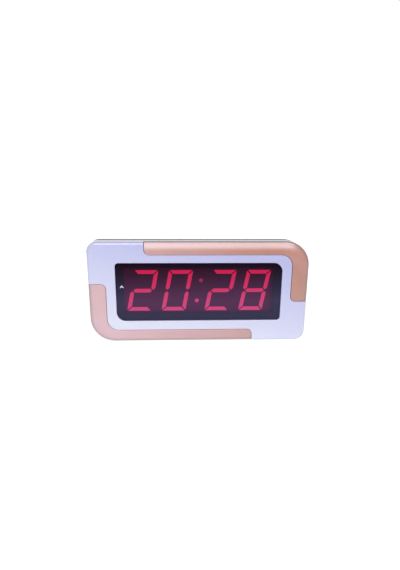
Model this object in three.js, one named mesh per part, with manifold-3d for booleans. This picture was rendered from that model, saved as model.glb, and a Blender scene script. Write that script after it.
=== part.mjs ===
// Digital desk clock. A two-tone front shell frames a smoked window with a four-digit
// seven-segment display, and a dark rear cover carries the keys, the battery bay and the sockets.
// Units are millimetres: +X to the right seen from the front, +Y to the rear, +Z up.
// The origin lies on the table, under the middle of the clock.

import * as THREE from "three";
import { mergeVertices } from "three/addons/utils/BufferGeometryUtils.js";
import Module from "manifold-3d";

const wasm = await Module();
wasm.setup();

// Case
const WIDTH = 200;
const HEIGHT = 93.6;
const DEPTH = 45;
const BIG_CORNER = 22;
const SMALL_CORNER = 9;
const SHELL_DEPTH = 13.5;
const SHELL_WALL = 2.2;
const FRONT_WALL = 3.2;
const EDGE_INSET = 3;
const EDGE_DEPTH = 2.4;
const COVER_WALL = 2.6;
const LIP_LENGTH = 3;
const LIP_WALL = 1.5;
const TOP_FLAT = 5;
const SIDE_TAPER = 5.5;
const TOP_DROP = 10.5;
const REAR_BIG_CORNER = 16;
const REAR_SMALL_CORNER = 8;
const REAR_ROUND = 2.5;
const CLEARANCE = 0.3;

// Trims let into the front: one along the top and down the right, one opposite
const TRIM_BAND = 11.3;
const TRIM_COLUMN = 15.5;
const TRIM_START = 50.6;
const TRIM_OVERRUN = 8.5;
const TRIM_INNER_CORNER = 10.5;
const TRIM_END_CORNER = 4.7;
const TRIM_PROUD = 0.4;
const TRIM_CROWN_INSET = 12;
const TRIM_CROWN_DEPTH = 4.4;
const TRIM_RIM = 1;
const TRIM_WALL = 1.6;
const TRIM_PEG_RADIUS = 1.5;
const TRIM_PEG_REACH = 2.6;
const NOTCH_DEPTH = 5.5;

// Window
const WINDOW_SIDE_MARGIN = 24.5;
const WINDOW_TOP_MARGIN = 18.8;
const WINDOW_BOTTOM_MARGIN = 20.2;
const WINDOW_BIG_CORNER = 8.2;
const WINDOW_SMALL_CORNER = 3.2;
const WINDOW_CHAMFER = 0.8;
const LENS_LEDGE = 1.4;
const LENS_MARGIN = 2.2;
const LENS_THICKNESS = 2;

// Display
const DISPLAY_DEPTH = 6.5;
const DISPLAY_MARGIN = 2.2;
const REFLECTOR_THICKNESS = 8;
const REFLECTOR_CORNER = 1;
const DIGIT_WIDTH = 22.3;
const DIGIT_HEIGHT = 38.9;
const DIGIT_SLANT = THREE.MathUtils.degToRad(10.9);
const DIGIT_PITCH = 31.75;
const COLON_GAP = 8.4;
const STROKE = 3.6;
const SEGMENT_GAP = 0.8;
const SEGMENT_CHAMFER = 1.3;
const SEGMENT_CLEARANCE = 0.1;
const DIFFUSER_WEB = 1;
const DIFFUSER_MARGIN = 1;
const DOT_RADIUS = 1.85;
const DOT_RISE = 9.7;
const BRACKET_FLANGE = 2;
const BRACKET_SKIRT = 1.8;
const BRACKET_EAR = 2;
const BRACKET_EAR_WIDTH = 12;
const BRACKET_SCREW_INSET = 13;
const BRACKET_PEG_RADIUS = 0.8;
const BOARD_THICKNESS = 1.6;
const BOARD_MARGIN = 1.5;
const CHIP_SIZE = [35, 4, 9];
const CHIP_PLACE = [-20, 2];
const CHIP_NOTCH = 1.4;
const CRYSTAL_SIZE = [11, 3.6, 4.7];
const CRYSTAL_PLACE = [12, -8];
const CAPACITOR_RADIUS = 5;
const CAPACITOR_LENGTH = 12.5;
const CAPACITOR_GROOVE = 0.5;
const CAPACITOR_PLACE = [-50, 15];

// Screws
const SCREW_SHANK = 1.3;
const SCREW_HEAD = 2.8;
const SCREW_HEAD_HEIGHT = 2.2;
const CASE_SCREW_GRIP = 6;
const CASE_SCREW_INSET = 14;
const CASE_SCREW_DROP = 13;
const CASE_SCREW_RISE = 15.5;
const BRACKET_SCREW_GRIP = 3;
const SCREW_FLOOR = 3;
const TUBE_SETBACK = 1.7;
const BOSS_WALL = 2;

// Feet
const FOOT_LENGTH = 16;
const FOOT_WIDTH = 5;
const FOOT_CORNER = 2.3;
const FOOT_HEIGHT = 1.2;
const FOOT_RECESS = 0.8;
const FOOT_INSET = 36;
const REAR_FOOT_SETBACK = 8;

// Keys on the sloping deck of the rear cover
const SNOOZE_LENGTH = 50;
const KEY_LENGTH = 15;
const KEY_WIDTH = 9;
const KEY_CORNER = 2;
const KEY_PROUD = 1.8;
const KEY_BEVEL = 0.7;
const KEY_SPACE = 8;
const KEY_FLANGE = 1.4;
const KEY_FLANGE_THICKNESS = 1.2;
const KEY_STEM_RADIUS = 2;
const KEY_STEM_LENGTH = 1.3;
const KEY_TRAVEL = 0.7;
const SWITCH_SIZE = 6.2;
const SWITCH_FLOOR = 1.2;
const PLUNGER_RADIUS = 1.7;
const PLUNGER_LENGTH = 2.4;
const PLUNGER_SHOW = 1;
const KEY_BOARD_WIDTH = 11;
const POST_RADIUS = 2;
const POST_PEG_RADIUS = 1.2;
const POST_PEG_REACH = 0.8;

// Battery bay
const CELL_RADIUS = 5.25;
const CELL_LENGTH = 44.5;
const CELL_NUB_RADIUS = 1.9;
const CELL_NUB_LENGTH = 0.8;
const CELL_PITCH = 11.5;
const BAY_RISE = 22;
const BAY_WALL = 1.5;
const CONTACT_THICKNESS = 0.5;
const CONTACT_WIDTH = 8;
const LEAF_REACH = 2.5;
const LEAF_SPAN = 7;
const LEAF_WIDTH = 4;
const TAB_WIDTH = 3;
const TAB_REACH = 2;
const DOOR_THICKNESS = 2;
const DOOR_LEDGE = 1;
const DOOR_CORNER = 2;
const HOOK_SPACING = 32;
const HOOK_WIDTH = 6;
const HOOK_THICKNESS = 1.2;
const HOOK_REACH = 1.6;
const GROOVE_COUNT = 3;
const GROOVE_LENGTH = 16;
const GROOVE_WIDTH = 1.2;
const GROOVE_DEPTH = 0.6;
const GROOVE_PITCH = 2.6;
const SCOOP_RADIUS = 7;
const SCOOP_DEPTH = 1.2;

// Speaker, vents, power socket and alarm switch on the rear wall
const SPEAKER_RADIUS = 18;
const SPEAKER_INSET = 46;
const SPEAKER_Z = -3;
const SPEAKER_RIM = 1.6;
const SPEAKER_DEPTH = 6;
const SPEAKER_FLOOR = 1.2;
const SPEAKER_RING_WALL = 1.4;
const SPEAKER_RING_DEPTH = 4;
const MAGNET_RADIUS = 9;
const MAGNET_DEPTH = 5;
const CONE_THICKNESS = 0.8;
const CONE_DOME = 5;
const GRILLE_RINGS = 2;
const GRILLE_PITCH = 5.4;
const GRILLE_HOLE = 1.5;
const GRILLE_RING_STEP = 6;
const VENT_COUNT = 9;
const VENT_PITCH = 6.4;
const VENT_WIDTH = 2.4;
const VENT_HEIGHT = 16;
const VENT_Z = 12;
const JACK_INSET = 40;
const JACK_RISE = 19.5;
const JACK_BARREL = 4;
const JACK_BORE = 2.9;
const JACK_PIN = 1;
const JACK_LENGTH = 13;
const JACK_FLOOR = 3.5;
const JACK_FLANGE_RADIUS = 5.6;
const JACK_FLANGE = 1.3;
const NUT_RADIUS = 6.4;
const NUT_SIDES = 6;
const NUT_THICKNESS = 2.4;
const SLIDER_INSET = 40;
const SLIDER_Z = 4;
const SLIDER_LENGTH = 5;
const SLIDER_WIDTH = 4;
const SLIDER_TRAVEL = 4;
const SLIDER_PROUD = 1.6;
const SLIDER_FLANGE = 3;
const SLIDER_FLANGE_THICKNESS = 1.2;
const SLIDER_STEM = 2.4;
const SLIDER_STEM_LENGTH = 1.6;
const SLIDE_SWITCH_SIZE = [19, 5, 8];
const RAIL_WALL = 1.4;

// Leads inside the case
const LEAD_RADIUS = 0.9;
const LEAD_BEND = 6;
const RIBBON_WIDTH = 12.7;
const RIBBON_THICKNESS = 0.9;
const RIBBON_PLACE = [14, 15];
const SPEAKER_LEAD_END = [40, -3];
const BATTERY_LEAD_END = [-30, -18];
const POWER_LEAD_END = [-48, -12];

// Facets
const CORNER_STEPS = 6;
const SMALL_STEPS = 2;
const EDGE_STEPS = 4;
const RIM_STEPS = 3;
const FINE_SIDES = 16;
const PLAIN_SIDES = 8;
const HOLE_SIDES = 6;
const PATH_STEPS = 8;

// Places along the depth, across the width and up the height, from the middle of the face
const halfWidth = WIDTH / 2;
const halfHeight = HEIGHT / 2;
const windowWidth = WIDTH - 2 * WINDOW_SIDE_MARGIN;
const windowHeight = HEIGHT - WINDOW_TOP_MARGIN - WINDOW_BOTTOM_MARGIN;
const windowRise = (WINDOW_BOTTOM_MARGIN - WINDOW_TOP_MARGIN) / 2;
const lensFront = LENS_LEDGE + CLEARANCE;
const bracketFront = lensFront + LENS_THICKNESS + CLEARANCE;
const reflectorRear = DISPLAY_DEPTH + REFLECTOR_THICKNESS;
const boardFront = reflectorRear + CLEARANCE;
const boardRear = boardFront + BOARD_THICKNESS;
const digitCentres = [-1.5, -0.5, 0.5, 1.5].map(
  (step) => step * DIGIT_PITCH + Math.sign(step) * (COLON_GAP / 2),
);
const slantReach = (DIGIT_HEIGHT / 2) * Math.tan(DIGIT_SLANT);
const displayWidth = 2 * (digitCentres[3] + DIGIT_WIDTH / 2 + slantReach + DISPLAY_MARGIN);
const displayHeight = DIGIT_HEIGHT + 2 * DISPLAY_MARGIN;
const coverFront = SHELL_DEPTH + CLEARANCE;
const rearWallInner = DEPTH - COVER_WALL;
const deckStart = coverFront + TOP_FLAT;
const deckEnd = DEPTH - REAR_ROUND;
const tubeStart = coverFront + TUBE_SETBACK;
const caseScrewX = halfWidth - CASE_SCREW_INSET;
const caseScrewTop = halfHeight - TOP_DROP - CASE_SCREW_DROP;
const caseScrewBottom = CASE_SCREW_RISE - halfHeight;
const bracketScrewX = halfWidth - BRACKET_SCREW_INSET;
const speakerX = halfWidth - SPEAKER_INSET;
const jackX = JACK_INSET - halfWidth;
const jackZ = JACK_RISE - halfHeight;
const sliderX = SLIDER_INSET - halfWidth;
const bayZ = BAY_RISE - halfHeight;
const doorInner = DEPTH - DOOR_THICKNESS;
const cellDepth = doorInner - 2 * CLEARANCE - CELL_RADIUS;
const bayFloor = cellDepth - CELL_RADIUS - CLEARANCE;
const bayLength = CELL_LENGTH + LEAF_REACH + 2 * CONTACT_THICKNESS + 4 * CLEARANCE;
const bayHeight = CELL_PITCH + 2 * CELL_RADIUS + 2 * CLEARANCE;
const bayBottom = bayZ - bayHeight / 2;
const doorWidth = bayLength + 2 * DOOR_LEDGE;
const doorHeight = bayHeight + 2 * DOOR_LEDGE;
const overcut = 1;

const caseScrewPlaces = [
  [-caseScrewX, caseScrewTop],
  [caseScrewX, caseScrewTop],
  [-caseScrewX, caseScrewBottom],
  [caseScrewX, caseScrewBottom],
];
const bracketScrewPlaces = [
  [-bracketScrewX, 0],
  [bracketScrewX, 0],
];

// Solids, meshes and finishes

function solidOf(geometry) {
  const bare = geometry.clone();
  bare.deleteAttribute("normal");
  bare.deleteAttribute("uv");
  const merged = mergeVertices(bare);
  const vertProperties = new Float32Array(merged.attributes.position.array);
  const triVerts = new Uint32Array(merged.index.array);
  return new wasm.Manifold(new wasm.Mesh({ numProp: 3, vertProperties, triVerts }));
}

function geometryOf(solid) {
  const { vertProperties, triVerts } = solid.getMesh();
  const geometry = new THREE.BufferGeometry();
  geometry.setAttribute("position", new THREE.BufferAttribute(vertProperties, 3));
  geometry.setIndex(new THREE.BufferAttribute(triVerts, 1));
  geometry.computeVertexNormals();
  return geometry;
}

const join = (...solids) => solids.flat().reduce((sum, solid) => sum.add(solid));
const cut = (body, ...tools) => tools.flat().reduce((rest, tool) => rest.subtract(tool), body);

const clock = new THREE.Group();
const deck = new THREE.Group();
const display = new THREE.Group();
display.position.z = windowRise;
clock.add(deck, display);

function piece(name, solid, material, parent = clock) {
  const mesh = new THREE.Mesh(geometryOf(solid), material);
  mesh.name = name;
  parent.add(mesh);
  return mesh;
}

const finish = (color, roughness, metalness = 0) =>
  new THREE.MeshStandardMaterial({ color, roughness, metalness });

const silver = finish(0xd0d3f0, 0.32, 0.35);
const copper = finish(0xd2a59c, 0.3, 0.45);
const smoked = finish(0x2a1a2c, 0.08);
const charcoal = finish(0x34343c, 0.55);
const keyGrey = finish(0x55565f, 0.5);
const black = finish(0x131318, 0.6);
const ledRed = finish(0xd82a52, 0.4);
const rubber = finish(0x1d1d1f, 0.9);
const steel = finish(0xb8bac0, 0.35, 1);
const board = finish(0x1e5a36, 0.5);
const brass = finish(0xc9a55a, 0.3, 1);
const jacket = finish(0x8c4a2a, 0.4, 0.3);
const paper = finish(0x26262a, 0.85);
const wire = finish(0x9a9aa4, 0.6);

// Outlines in the face plane

const around = (middle, size) => [middle - size / 2, middle + size / 2];

// A rectangle with its own radius at each corner, counter-clockwise from the lower right
function roundedRect(left, right, bottom, top, { br, tr, tl, bl }, steps = CORNER_STEPS) {
  const corner = (x, z, radius, start) =>
    Array.from({ length: steps + 1 }, (_, i) => {
      const angle = start + (Math.PI / 2) * (i / steps);
      return new THREE.Vector2(x + radius * Math.cos(angle), z + radius * Math.sin(angle));
    });
  return [
    ...corner(right - br, bottom + br, br, -Math.PI / 2),
    ...corner(right - tr, top - tr, tr, 0),
    ...corner(left + tl, top - tl, tl, Math.PI / 2),
    ...corner(left + bl, bottom + bl, bl, Math.PI),
  ];
}

// The case is alike at opposite corners: large upper right and lower left, small at the others
function leafRadii(big, small) {
  const least = 0.4;
  const large = Math.max(big, least);
  const little = Math.max(small, least);
  return { br: little, tr: large, tl: little, bl: large };
}

function leafRect(width, height, big, small) {
  return roundedRect(-width / 2, width / 2, -height / 2, height / 2, leafRadii(big, small));
}

function evenRect(width, height, radius, x = 0, z = 0) {
  const radii = { br: radius, tr: radius, tl: radius, bl: radius };
  const [left, right] = around(x, width);
  const [bottom, top] = around(z, height);
  return roundedRect(left, right, bottom, top, radii, SMALL_STEPS);
}

const faceOutline = (inset) =>
  leafRect(WIDTH - 2 * inset, HEIGHT - 2 * inset, BIG_CORNER - inset, SMALL_CORNER - inset);

const windowOutline = (grow) =>
  leafRect(
    windowWidth + 2 * grow,
    windowHeight + 2 * grow,
    WINDOW_BIG_CORNER + grow,
    WINDOW_SMALL_CORNER + grow,
  );

const halfTurn = (outline) => outline.map((point) => new THREE.Vector2(-point.x, -point.y));
const shifted = (outline, x, z = 0) =>
  outline.map((point) => new THREE.Vector2(point.x + x, point.y + z));
const slanted = (outline) =>
  outline.map((point) => new THREE.Vector2(point.x + point.y * Math.tan(DIGIT_SLANT), point.y));

// Basic solids

// Outline in the face plane, extruded from one depth to another
function slab(outline, from, to) {
  const shape = new THREE.Shape(outline);
  const geometry = new THREE.ExtrudeGeometry(shape, { depth: to - from, bevelEnabled: false });
  return solidOf(geometry.rotateX(Math.PI / 2).translate(0, to, 0));
}

// Outline in plan, extruded upwards
function plate(outline, bottom, top) {
  const shape = new THREE.Shape(outline);
  const geometry = new THREE.ExtrudeGeometry(shape, { depth: top - bottom, bevelEnabled: false });
  return geometry.translate(0, 0, bottom);
}

// Skin through outlines of equal point counts, each at its own depth, closed at both ends
function loft(sections) {
  const count = sections[0].outline.length;
  const positions = sections.flatMap(({ depth, outline }) => outline.flatMap((p) => [p.x, depth, p.y]));
  const index = [];
  for (let ring = 0; ring + 1 < sections.length; ring++) {
    for (let i = 0; i < count; i++) {
      const a = ring * count + i;
      const b = ring * count + ((i + 1) % count);
      index.push(a, a + count, b + count, a, b + count, b);
    }
  }
  const last = (sections.length - 1) * count;
  const front = THREE.ShapeUtils.triangulateShape(sections[0].outline, []);
  const rear = THREE.ShapeUtils.triangulateShape(sections.at(-1).outline, []);
  front.forEach(([i, j, k]) => index.push(i, j, k));
  rear.forEach(([i, j, k]) => index.push(last + k, last + j, last + i));
  const geometry = new THREE.BufferGeometry();
  geometry.setAttribute("position", new THREE.Float32BufferAttribute(positions, 3));
  geometry.setIndex(index);
  return solidOf(geometry);
}

// Box between two [low, high] pairs each way
function block(...ranges) {
  const size = ranges.map(([low, high]) => high - low);
  const middle = ranges.map(([low, high]) => (low + high) / 2);
  return solidOf(new THREE.BoxGeometry(...size).translate(...middle));
}

// Round bar along the depth
function rod(radius, from, to, [x, z], sides = PLAIN_SIDES) {
  const geometry = new THREE.CylinderGeometry(radius, radius, to - from, sides);
  return solidOf(geometry.translate(x, (from + to) / 2, z));
}

// Round bar standing up
function pillar(radius, bottom, top, x, sides = PLAIN_SIDES) {
  const geometry = new THREE.CylinderGeometry(radius, radius, top - bottom, sides);
  return geometry.rotateX(Math.PI / 2).translate(x, 0, (bottom + top) / 2);
}

// Profile of [radius, depth] points, turned about a line along the depth
function turned(profile, [x, z], sides = FINE_SIDES) {
  const points = profile.map(([radius, depth]) => new THREE.Vector2(radius, depth));
  return solidOf(new THREE.LatheGeometry(points, sides).translate(x, 0, z));
}

// Section swept along a smooth path that leaves both ends along the given directions
function swept(section, start, startBend, end, endBend) {
  const path = new THREE.CubicBezierCurve3(
    start,
    start.clone().addScaledVector(startBend, LEAD_BEND),
    end.clone().addScaledVector(endBend, LEAD_BEND),
    end,
  );
  const options = { steps: PATH_STEPS, extrudePath: path };
  return solidOf(new THREE.ExtrudeGeometry(new THREE.Shape(section), options));
}

// Quarter-ellipse edge: outline sections from the flat front to the full outline
function edgeSections(outlineAt, inset, depth, start) {
  return Array.from({ length: EDGE_STEPS + 1 }, (_, i) => {
    const angle = (Math.PI / 2) * (i / EDGE_STEPS);
    return {
      depth: start + depth * (1 - Math.cos(angle)),
      outline: outlineAt(inset * (1 - Math.sin(angle))),
    };
  });
}

// Trims

// Outline of the upper trim, running out past the case's edge, grown by a margin
function trimOutline(grow) {
  const left = TRIM_START - halfWidth - grow;
  const low = halfHeight - TRIM_BAND - grow;
  const inner = halfWidth - TRIM_COLUMN - grow;
  const end = -TRIM_OVERRUN - grow;
  const round = TRIM_END_CORNER + grow;
  const fillet = TRIM_INNER_CORNER - grow;
  const shape = new THREE.Shape();
  shape.moveTo(left, HEIGHT);
  shape.lineTo(left, low + round);
  shape.absarc(left + round, low + round, round, Math.PI, 1.5 * Math.PI, false);
  shape.absarc(inner - fillet, low - fillet, fillet, Math.PI / 2, 0, true);
  shape.absarc(inner + round, end + round, round, Math.PI, 1.5 * Math.PI, false);
  shape.lineTo(WIDTH, end);
  shape.lineTo(WIDTH, HEIGHT);
  return shape.extractPoints(CORNER_STEPS).shape;
}

// Outline sections of a crown that falls evenly steeper to a small rounding at its rim
function crownSections(outlineAt, start) {
  const falling = Array.from(
    { length: EDGE_STEPS },
    (_, i) => TRIM_CROWN_INSET - (TRIM_CROWN_INSET - TRIM_RIM) * (i / EDGE_STEPS),
  );
  const rounding = Array.from(
    { length: RIM_STEPS + 1 },
    (_, i) => TRIM_RIM * (1 - Math.sin((Math.PI / 2) * (i / RIM_STEPS))),
  );
  return [...falling, ...rounding].map((inset) => {
    const fall = 1 - inset / TRIM_CROWN_INSET;
    const rim = Math.max(0, 1 - inset / TRIM_RIM);
    const bend = TRIM_RIM * (1 - Math.sqrt(1 - rim ** 2));
    const drop = (TRIM_CROWN_DEPTH - TRIM_RIM) * fall ** 2 + bend;
    return { depth: start + drop, outline: outlineAt(inset) };
  });
}

// The front's swelling over the trims, proud at its crest and at its edge, back to a given depth
function crown(inset, rear) {
  const outlineAt = (step) => faceOutline(step + inset - TRIM_PROUD);
  return loft([
    ...crownSections(outlineAt, inset - TRIM_PROUD),
    { depth: rear, outline: outlineAt(0) },
  ]);
}

const trimPegPlaces = [
  [TRIM_START - halfWidth + TRIM_BAND, halfHeight - TRIM_BAND / 2],
  [halfWidth - BIG_CORNER - TRIM_BAND, halfHeight - TRIM_BAND / 2],
  [halfWidth - TRIM_COLUMN / 2, TRIM_COLUMN - TRIM_OVERRUN],
];

function trim() {
  const rear = NOTCH_DEPTH - CLEARANCE;
  const pegEnd = NOTCH_DEPTH + TRIM_PEG_REACH;
  const skin = crown(0, NOTCH_DEPTH).intersect(slab(trimOutline(0), -TRIM_CROWN_DEPTH, rear));
  const core = slab(trimOutline(-TRIM_WALL), -TRIM_CROWN_DEPTH, NOTCH_DEPTH);
  const hollow = crown(TRIM_WALL, NOTCH_DEPTH + overcut).intersect(core);
  const pegRoom = crown(TRIM_WALL / 2, pegEnd + overcut);
  const pegs = trimPegPlaces.map((place) =>
    rod(TRIM_PEG_RADIUS, -TRIM_PROUD, pegEnd, place).intersect(pegRoom),
  );
  return join(cut(skin, hollow), pegs);
}

piece("upper_trim", trim(), copper);
piece("lower_trim", trim(), copper).rotation.y = Math.PI;

// Feet and their recesses

const footDepths = [(NOTCH_DEPTH + SHELL_DEPTH) / 2, DEPTH - REAR_FOOT_SETBACK];
const footX = halfWidth - FOOT_INSET;
const footOutline = (x, depth, grow) =>
  evenRect(FOOT_LENGTH + 2 * grow, FOOT_WIDTH + 2 * grow, FOOT_CORNER + grow, x, depth);
const footRecesses = (depth) =>
  [-footX, footX].map((x) => {
    const outline = footOutline(x, depth, CLEARANCE);
    return solidOf(plate(outline, -halfHeight - overcut, FOOT_RECESS - halfHeight));
  });

// Front shell

function notches(grow, to) {
  const outline = trimOutline(grow);
  return [outline, halfTurn(outline)].map((shape) => slab(shape, -TRIM_CROWN_DEPTH, to));
}

const earFront = reflectorRear - BRACKET_EAR;
const caseBossEnd = tubeStart - CLEARANCE;
const bracketBossEnd = earFront - CLEARANCE;

function frontShell() {
  const body = loft([
    ...edgeSections(faceOutline, EDGE_INSET, EDGE_DEPTH, 0),
    { depth: SHELL_DEPTH, outline: faceOutline(0) },
  ]);
  const notchWalls = notches(CLEARANCE + SHELL_WALL, NOTCH_DEPTH + SHELL_WALL);
  const room = cut(slab(faceOutline(SHELL_WALL), FRONT_WALL, SHELL_DEPTH + overcut), notchWalls);
  const bracketPlaces = bracketScrewPlaces.map(([x, z]) => [x, z + windowRise]);
  const boss = (end) => (place) => rod(SCREW_SHANK + BOSS_WALL, FRONT_WALL / 2, end, place);
  const pilot = (end, grip) => (place) =>
    rod(SCREW_SHANK + CLEARANCE, end - grip - CLEARANCE, end + overcut, place);
  const raisedWindow = (grow) => shifted(windowOutline(grow), 0, windowRise);
  const opening = loft([
    { depth: -overcut, outline: raisedWindow(WINDOW_CHAMFER + overcut) },
    { depth: WINDOW_CHAMFER, outline: raisedWindow(0) },
    { depth: FRONT_WALL + overcut, outline: raisedWindow(0) },
  ]);
  const pegHoles = trimPegPlaces.flatMap(([x, z]) =>
    [1, -1].map((side) =>
      rod(TRIM_PEG_RADIUS + CLEARANCE, 0, NOTCH_DEPTH + SHELL_WALL + overcut, [side * x, side * z]),
    ),
  );
  return cut(
    join(
      cut(body, room),
      caseScrewPlaces.map(boss(caseBossEnd)),
      bracketPlaces.map(boss(bracketBossEnd)),
    ),
    notches(CLEARANCE, NOTCH_DEPTH),
    opening,
    slab(raisedWindow(LENS_MARGIN + CLEARANCE), LENS_LEDGE, FRONT_WALL + overcut),
    pegHoles,
    caseScrewPlaces.map(pilot(caseBossEnd, CASE_SCREW_GRIP)),
    bracketPlaces.map(pilot(bracketBossEnd, BRACKET_SCREW_GRIP)),
    footRecesses(footDepths[0]),
  );
}

piece("front_shell", frontShell(), silver);
const lens = slab(windowOutline(LENS_MARGIN), lensFront, lensFront + LENS_THICKNESS);
piece("window_lens", lens, smoked, display);

// Display: bracket, reflector with one cut-out per segment, and the diffusers that fill them

const displayOutline = (grow) =>
  evenRect(displayWidth + 2 * grow, displayHeight + 2 * grow, REFLECTOR_CORNER + Math.max(grow, 0));
const skirtGrow = CLEARANCE + BRACKET_SKIRT;
const bracketPegPlaces = [-1, 1].flatMap((side) =>
  [-1, 1].map((level) => [
    side * (displayWidth / 2 + CLEARANCE + BRACKET_SKIRT / 2),
    level * (displayHeight / 2 - REFLECTOR_CORNER),
  ]),
);

function displayBracket() {
  const ear = (place) => {
    const inner = displayWidth / 2 + CLEARANCE;
    const outer = bracketScrewX + BRACKET_EAR_WIDTH / 2;
    const reach = place[0] < 0 ? [-outer, -inner] : [inner, outer];
    return cut(
      block(reach, [earFront, reflectorRear], around(place[1], BRACKET_EAR_WIDTH)),
      rod(SCREW_SHANK + CLEARANCE, earFront - overcut, reflectorRear + overcut, place),
    );
  };
  const frame = join(
    slab(windowOutline(LENS_MARGIN), bracketFront, bracketFront + BRACKET_FLANGE),
    slab(displayOutline(skirtGrow), bracketFront, reflectorRear),
  );
  const pegs = bracketPegPlaces.map((place) =>
    rod(BRACKET_PEG_RADIUS, reflectorRear - overcut, boardRear + CLEARANCE, place, HOLE_SIDES),
  );
  return join(
    cut(frame, slab(displayOutline(CLEARANCE), bracketFront - overcut, reflectorRear + overcut)),
    bracketScrewPlaces.map(ear),
    pegs,
  );
}

const mirrored = (outline, x, z) => {
  const points = outline.map((point) => new THREE.Vector2(x * point.x, z * point.y));
  return x * z < 0 ? points.reverse() : points;
};

// Upright outlines of a digit's seven segments, mitred where they meet, each grown by a margin
function segmentOutlines(grow) {
  const side = DIGIT_WIDTH / 2 + grow;
  const top = DIGIT_HEIGHT / 2 + grow;
  const stroke = STROKE + 2 * grow;
  const mitre = (SEGMENT_GAP - 2 * grow) / Math.SQRT2;
  const near = (SEGMENT_CHAMFER - mitre) / 2;
  const far = (SEGMENT_CHAMFER + mitre) / 2;
  const inner = side - stroke;
  const outline = (...points) => points.map(([x, z]) => new THREE.Vector2(x, z));
  const bar = outline(
    [mitre - inner, top - stroke],
    [inner - mitre, top - stroke],
    [side - far, top - near],
    [side - SEGMENT_CHAMFER, top],
    [SEGMENT_CHAMFER - side, top],
    [far - side, top - near],
  );
  const post = outline(
    [-side, stroke / 2 + mitre],
    [stroke / 2 - side, mitre],
    [-inner, stroke / 2 + mitre],
    [-inner, top - stroke - mitre],
    [near - side, top - far],
    [-side, top - SEGMENT_CHAMFER],
  );
  const middle = outline(
    [stroke / 2 + mitre - side, 0],
    [mitre - inner, -stroke / 2],
    [inner - mitre, -stroke / 2],
    [side - stroke / 2 - mitre, 0],
    [inner - mitre, stroke / 2],
    [mitre - inner, stroke / 2],
  );
  const corners = [-1, 1].flatMap((x) => [-1, 1].map((z) => mirrored(post, x, z)));
  return [bar, mirrored(bar, 1, -1), ...corners, middle].map(slanted);
}

const webOutline = (width, height) =>
  slanted(evenRect(width, height, REFLECTOR_CORNER / 2));
const digitWeb = (grow) =>
  webOutline(
    DIGIT_WIDTH + 2 * (DIFFUSER_MARGIN + grow),
    DIGIT_HEIGHT + 2 * (DIFFUSER_MARGIN + grow),
  );
const colonWeb = (grow) =>
  webOutline(
    2 * (DOT_RADIUS + DIFFUSER_MARGIN + grow),
    2 * (DOT_RISE + DOT_RADIUS + DIFFUSER_MARGIN + grow),
  );
const dotPlaces = [-1, 1].map((level) => [level * DOT_RISE * Math.tan(DIGIT_SLANT), level * DOT_RISE]);
const webFront = reflectorRear - DIFFUSER_WEB;

function displayReflector() {
  const cutFront = DISPLAY_DEPTH - overcut;
  const pocketFront = webFront - CLEARANCE;
  const pocket = (outline) => slab(outline, pocketFront, reflectorRear + overcut);
  const cells = segmentOutlines(SEGMENT_CLEARANCE);
  return cut(
    slab(displayOutline(0), DISPLAY_DEPTH, reflectorRear),
    digitCentres.flatMap((x) => cells.map((cell) => slab(shifted(cell, x), cutFront, reflectorRear))),
    digitCentres.map((x) => pocket(shifted(digitWeb(CLEARANCE), x))),
    dotPlaces.map((place) =>
      rod(DOT_RADIUS + SEGMENT_CLEARANCE, cutFront, reflectorRear, place, FINE_SIDES),
    ),
    pocket(colonWeb(CLEARANCE)),
  );
}

function digitDiffuser(x) {
  const front = DISPLAY_DEPTH + SEGMENT_CLEARANCE;
  return join(
    slab(shifted(digitWeb(0), x), webFront, reflectorRear),
    segmentOutlines(0).map((segment) => slab(shifted(segment, x), front, webFront + DIFFUSER_WEB / 2)),
  );
}

function colonDiffuser() {
  const front = DISPLAY_DEPTH + SEGMENT_CLEARANCE;
  const rear = webFront + DIFFUSER_WEB / 2;
  return join(
    slab(colonWeb(0), webFront, reflectorRear),
    dotPlaces.map((place) => rod(DOT_RADIUS, front, rear, place, FINE_SIDES)),
  );
}

piece("display_bracket", displayBracket(), black, display);
piece("display_reflector", displayReflector(), black, display);
const digitNames = ["digit_hour_tens", "digit_hour_units", "digit_minute_tens", "digit_minute_units"];
digitNames.forEach((name, i) => piece(name, digitDiffuser(digitCentres[i]), ledRed, display));
piece("colon_dots", colonDiffuser(), ledRed, display);

// Display board and what stands on its rear side

const onBoard = boardRear + CLEARANCE;

function displayBoard() {
  return cut(
    slab(displayOutline(skirtGrow + BOARD_MARGIN), boardFront, boardRear),
    bracketPegPlaces.map((place) =>
      rod(BRACKET_PEG_RADIUS + CLEARANCE, boardFront - overcut, boardRear + overcut, place, HOLE_SIDES),
    ),
  );
}

function clockChip() {
  const [length, height, width] = CHIP_SIZE;
  const [x, z] = CHIP_PLACE;
  return cut(
    block(around(x, length), [onBoard, onBoard + height], around(z, width)),
    rod(CHIP_NOTCH, onBoard + height / 2, onBoard + height + overcut, [x - length / 2, z]),
  );
}

function crystal() {
  const [length, height, width] = CRYSTAL_SIZE;
  const outline = evenRect(length, width, width / 2 - CLEARANCE, ...CRYSTAL_PLACE);
  return slab(outline, onBoard, onBoard + height);
}

function capacitor() {
  const end = onBoard + CAPACITOR_LENGTH;
  const waist = CAPACITOR_RADIUS - CAPACITOR_GROOVE;
  const profile = [
    [0, onBoard],
    [CAPACITOR_RADIUS, onBoard],
    [CAPACITOR_RADIUS, onBoard + CAPACITOR_GROOVE],
    [waist, onBoard + 2 * CAPACITOR_GROOVE],
    [CAPACITOR_RADIUS, onBoard + 3 * CAPACITOR_GROOVE],
    [CAPACITOR_RADIUS, end - CAPACITOR_GROOVE],
    [waist, end],
    [0, end],
  ];
  return turned(profile, CAPACITOR_PLACE, PLAIN_SIDES);
}

piece("display_board", displayBoard(), board, display);
piece("clock_chip", clockChip(), black, display);
piece("timing_crystal", crystal(), steel, display);
piece("filter_capacitor", capacitor(), paper, display);

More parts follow.
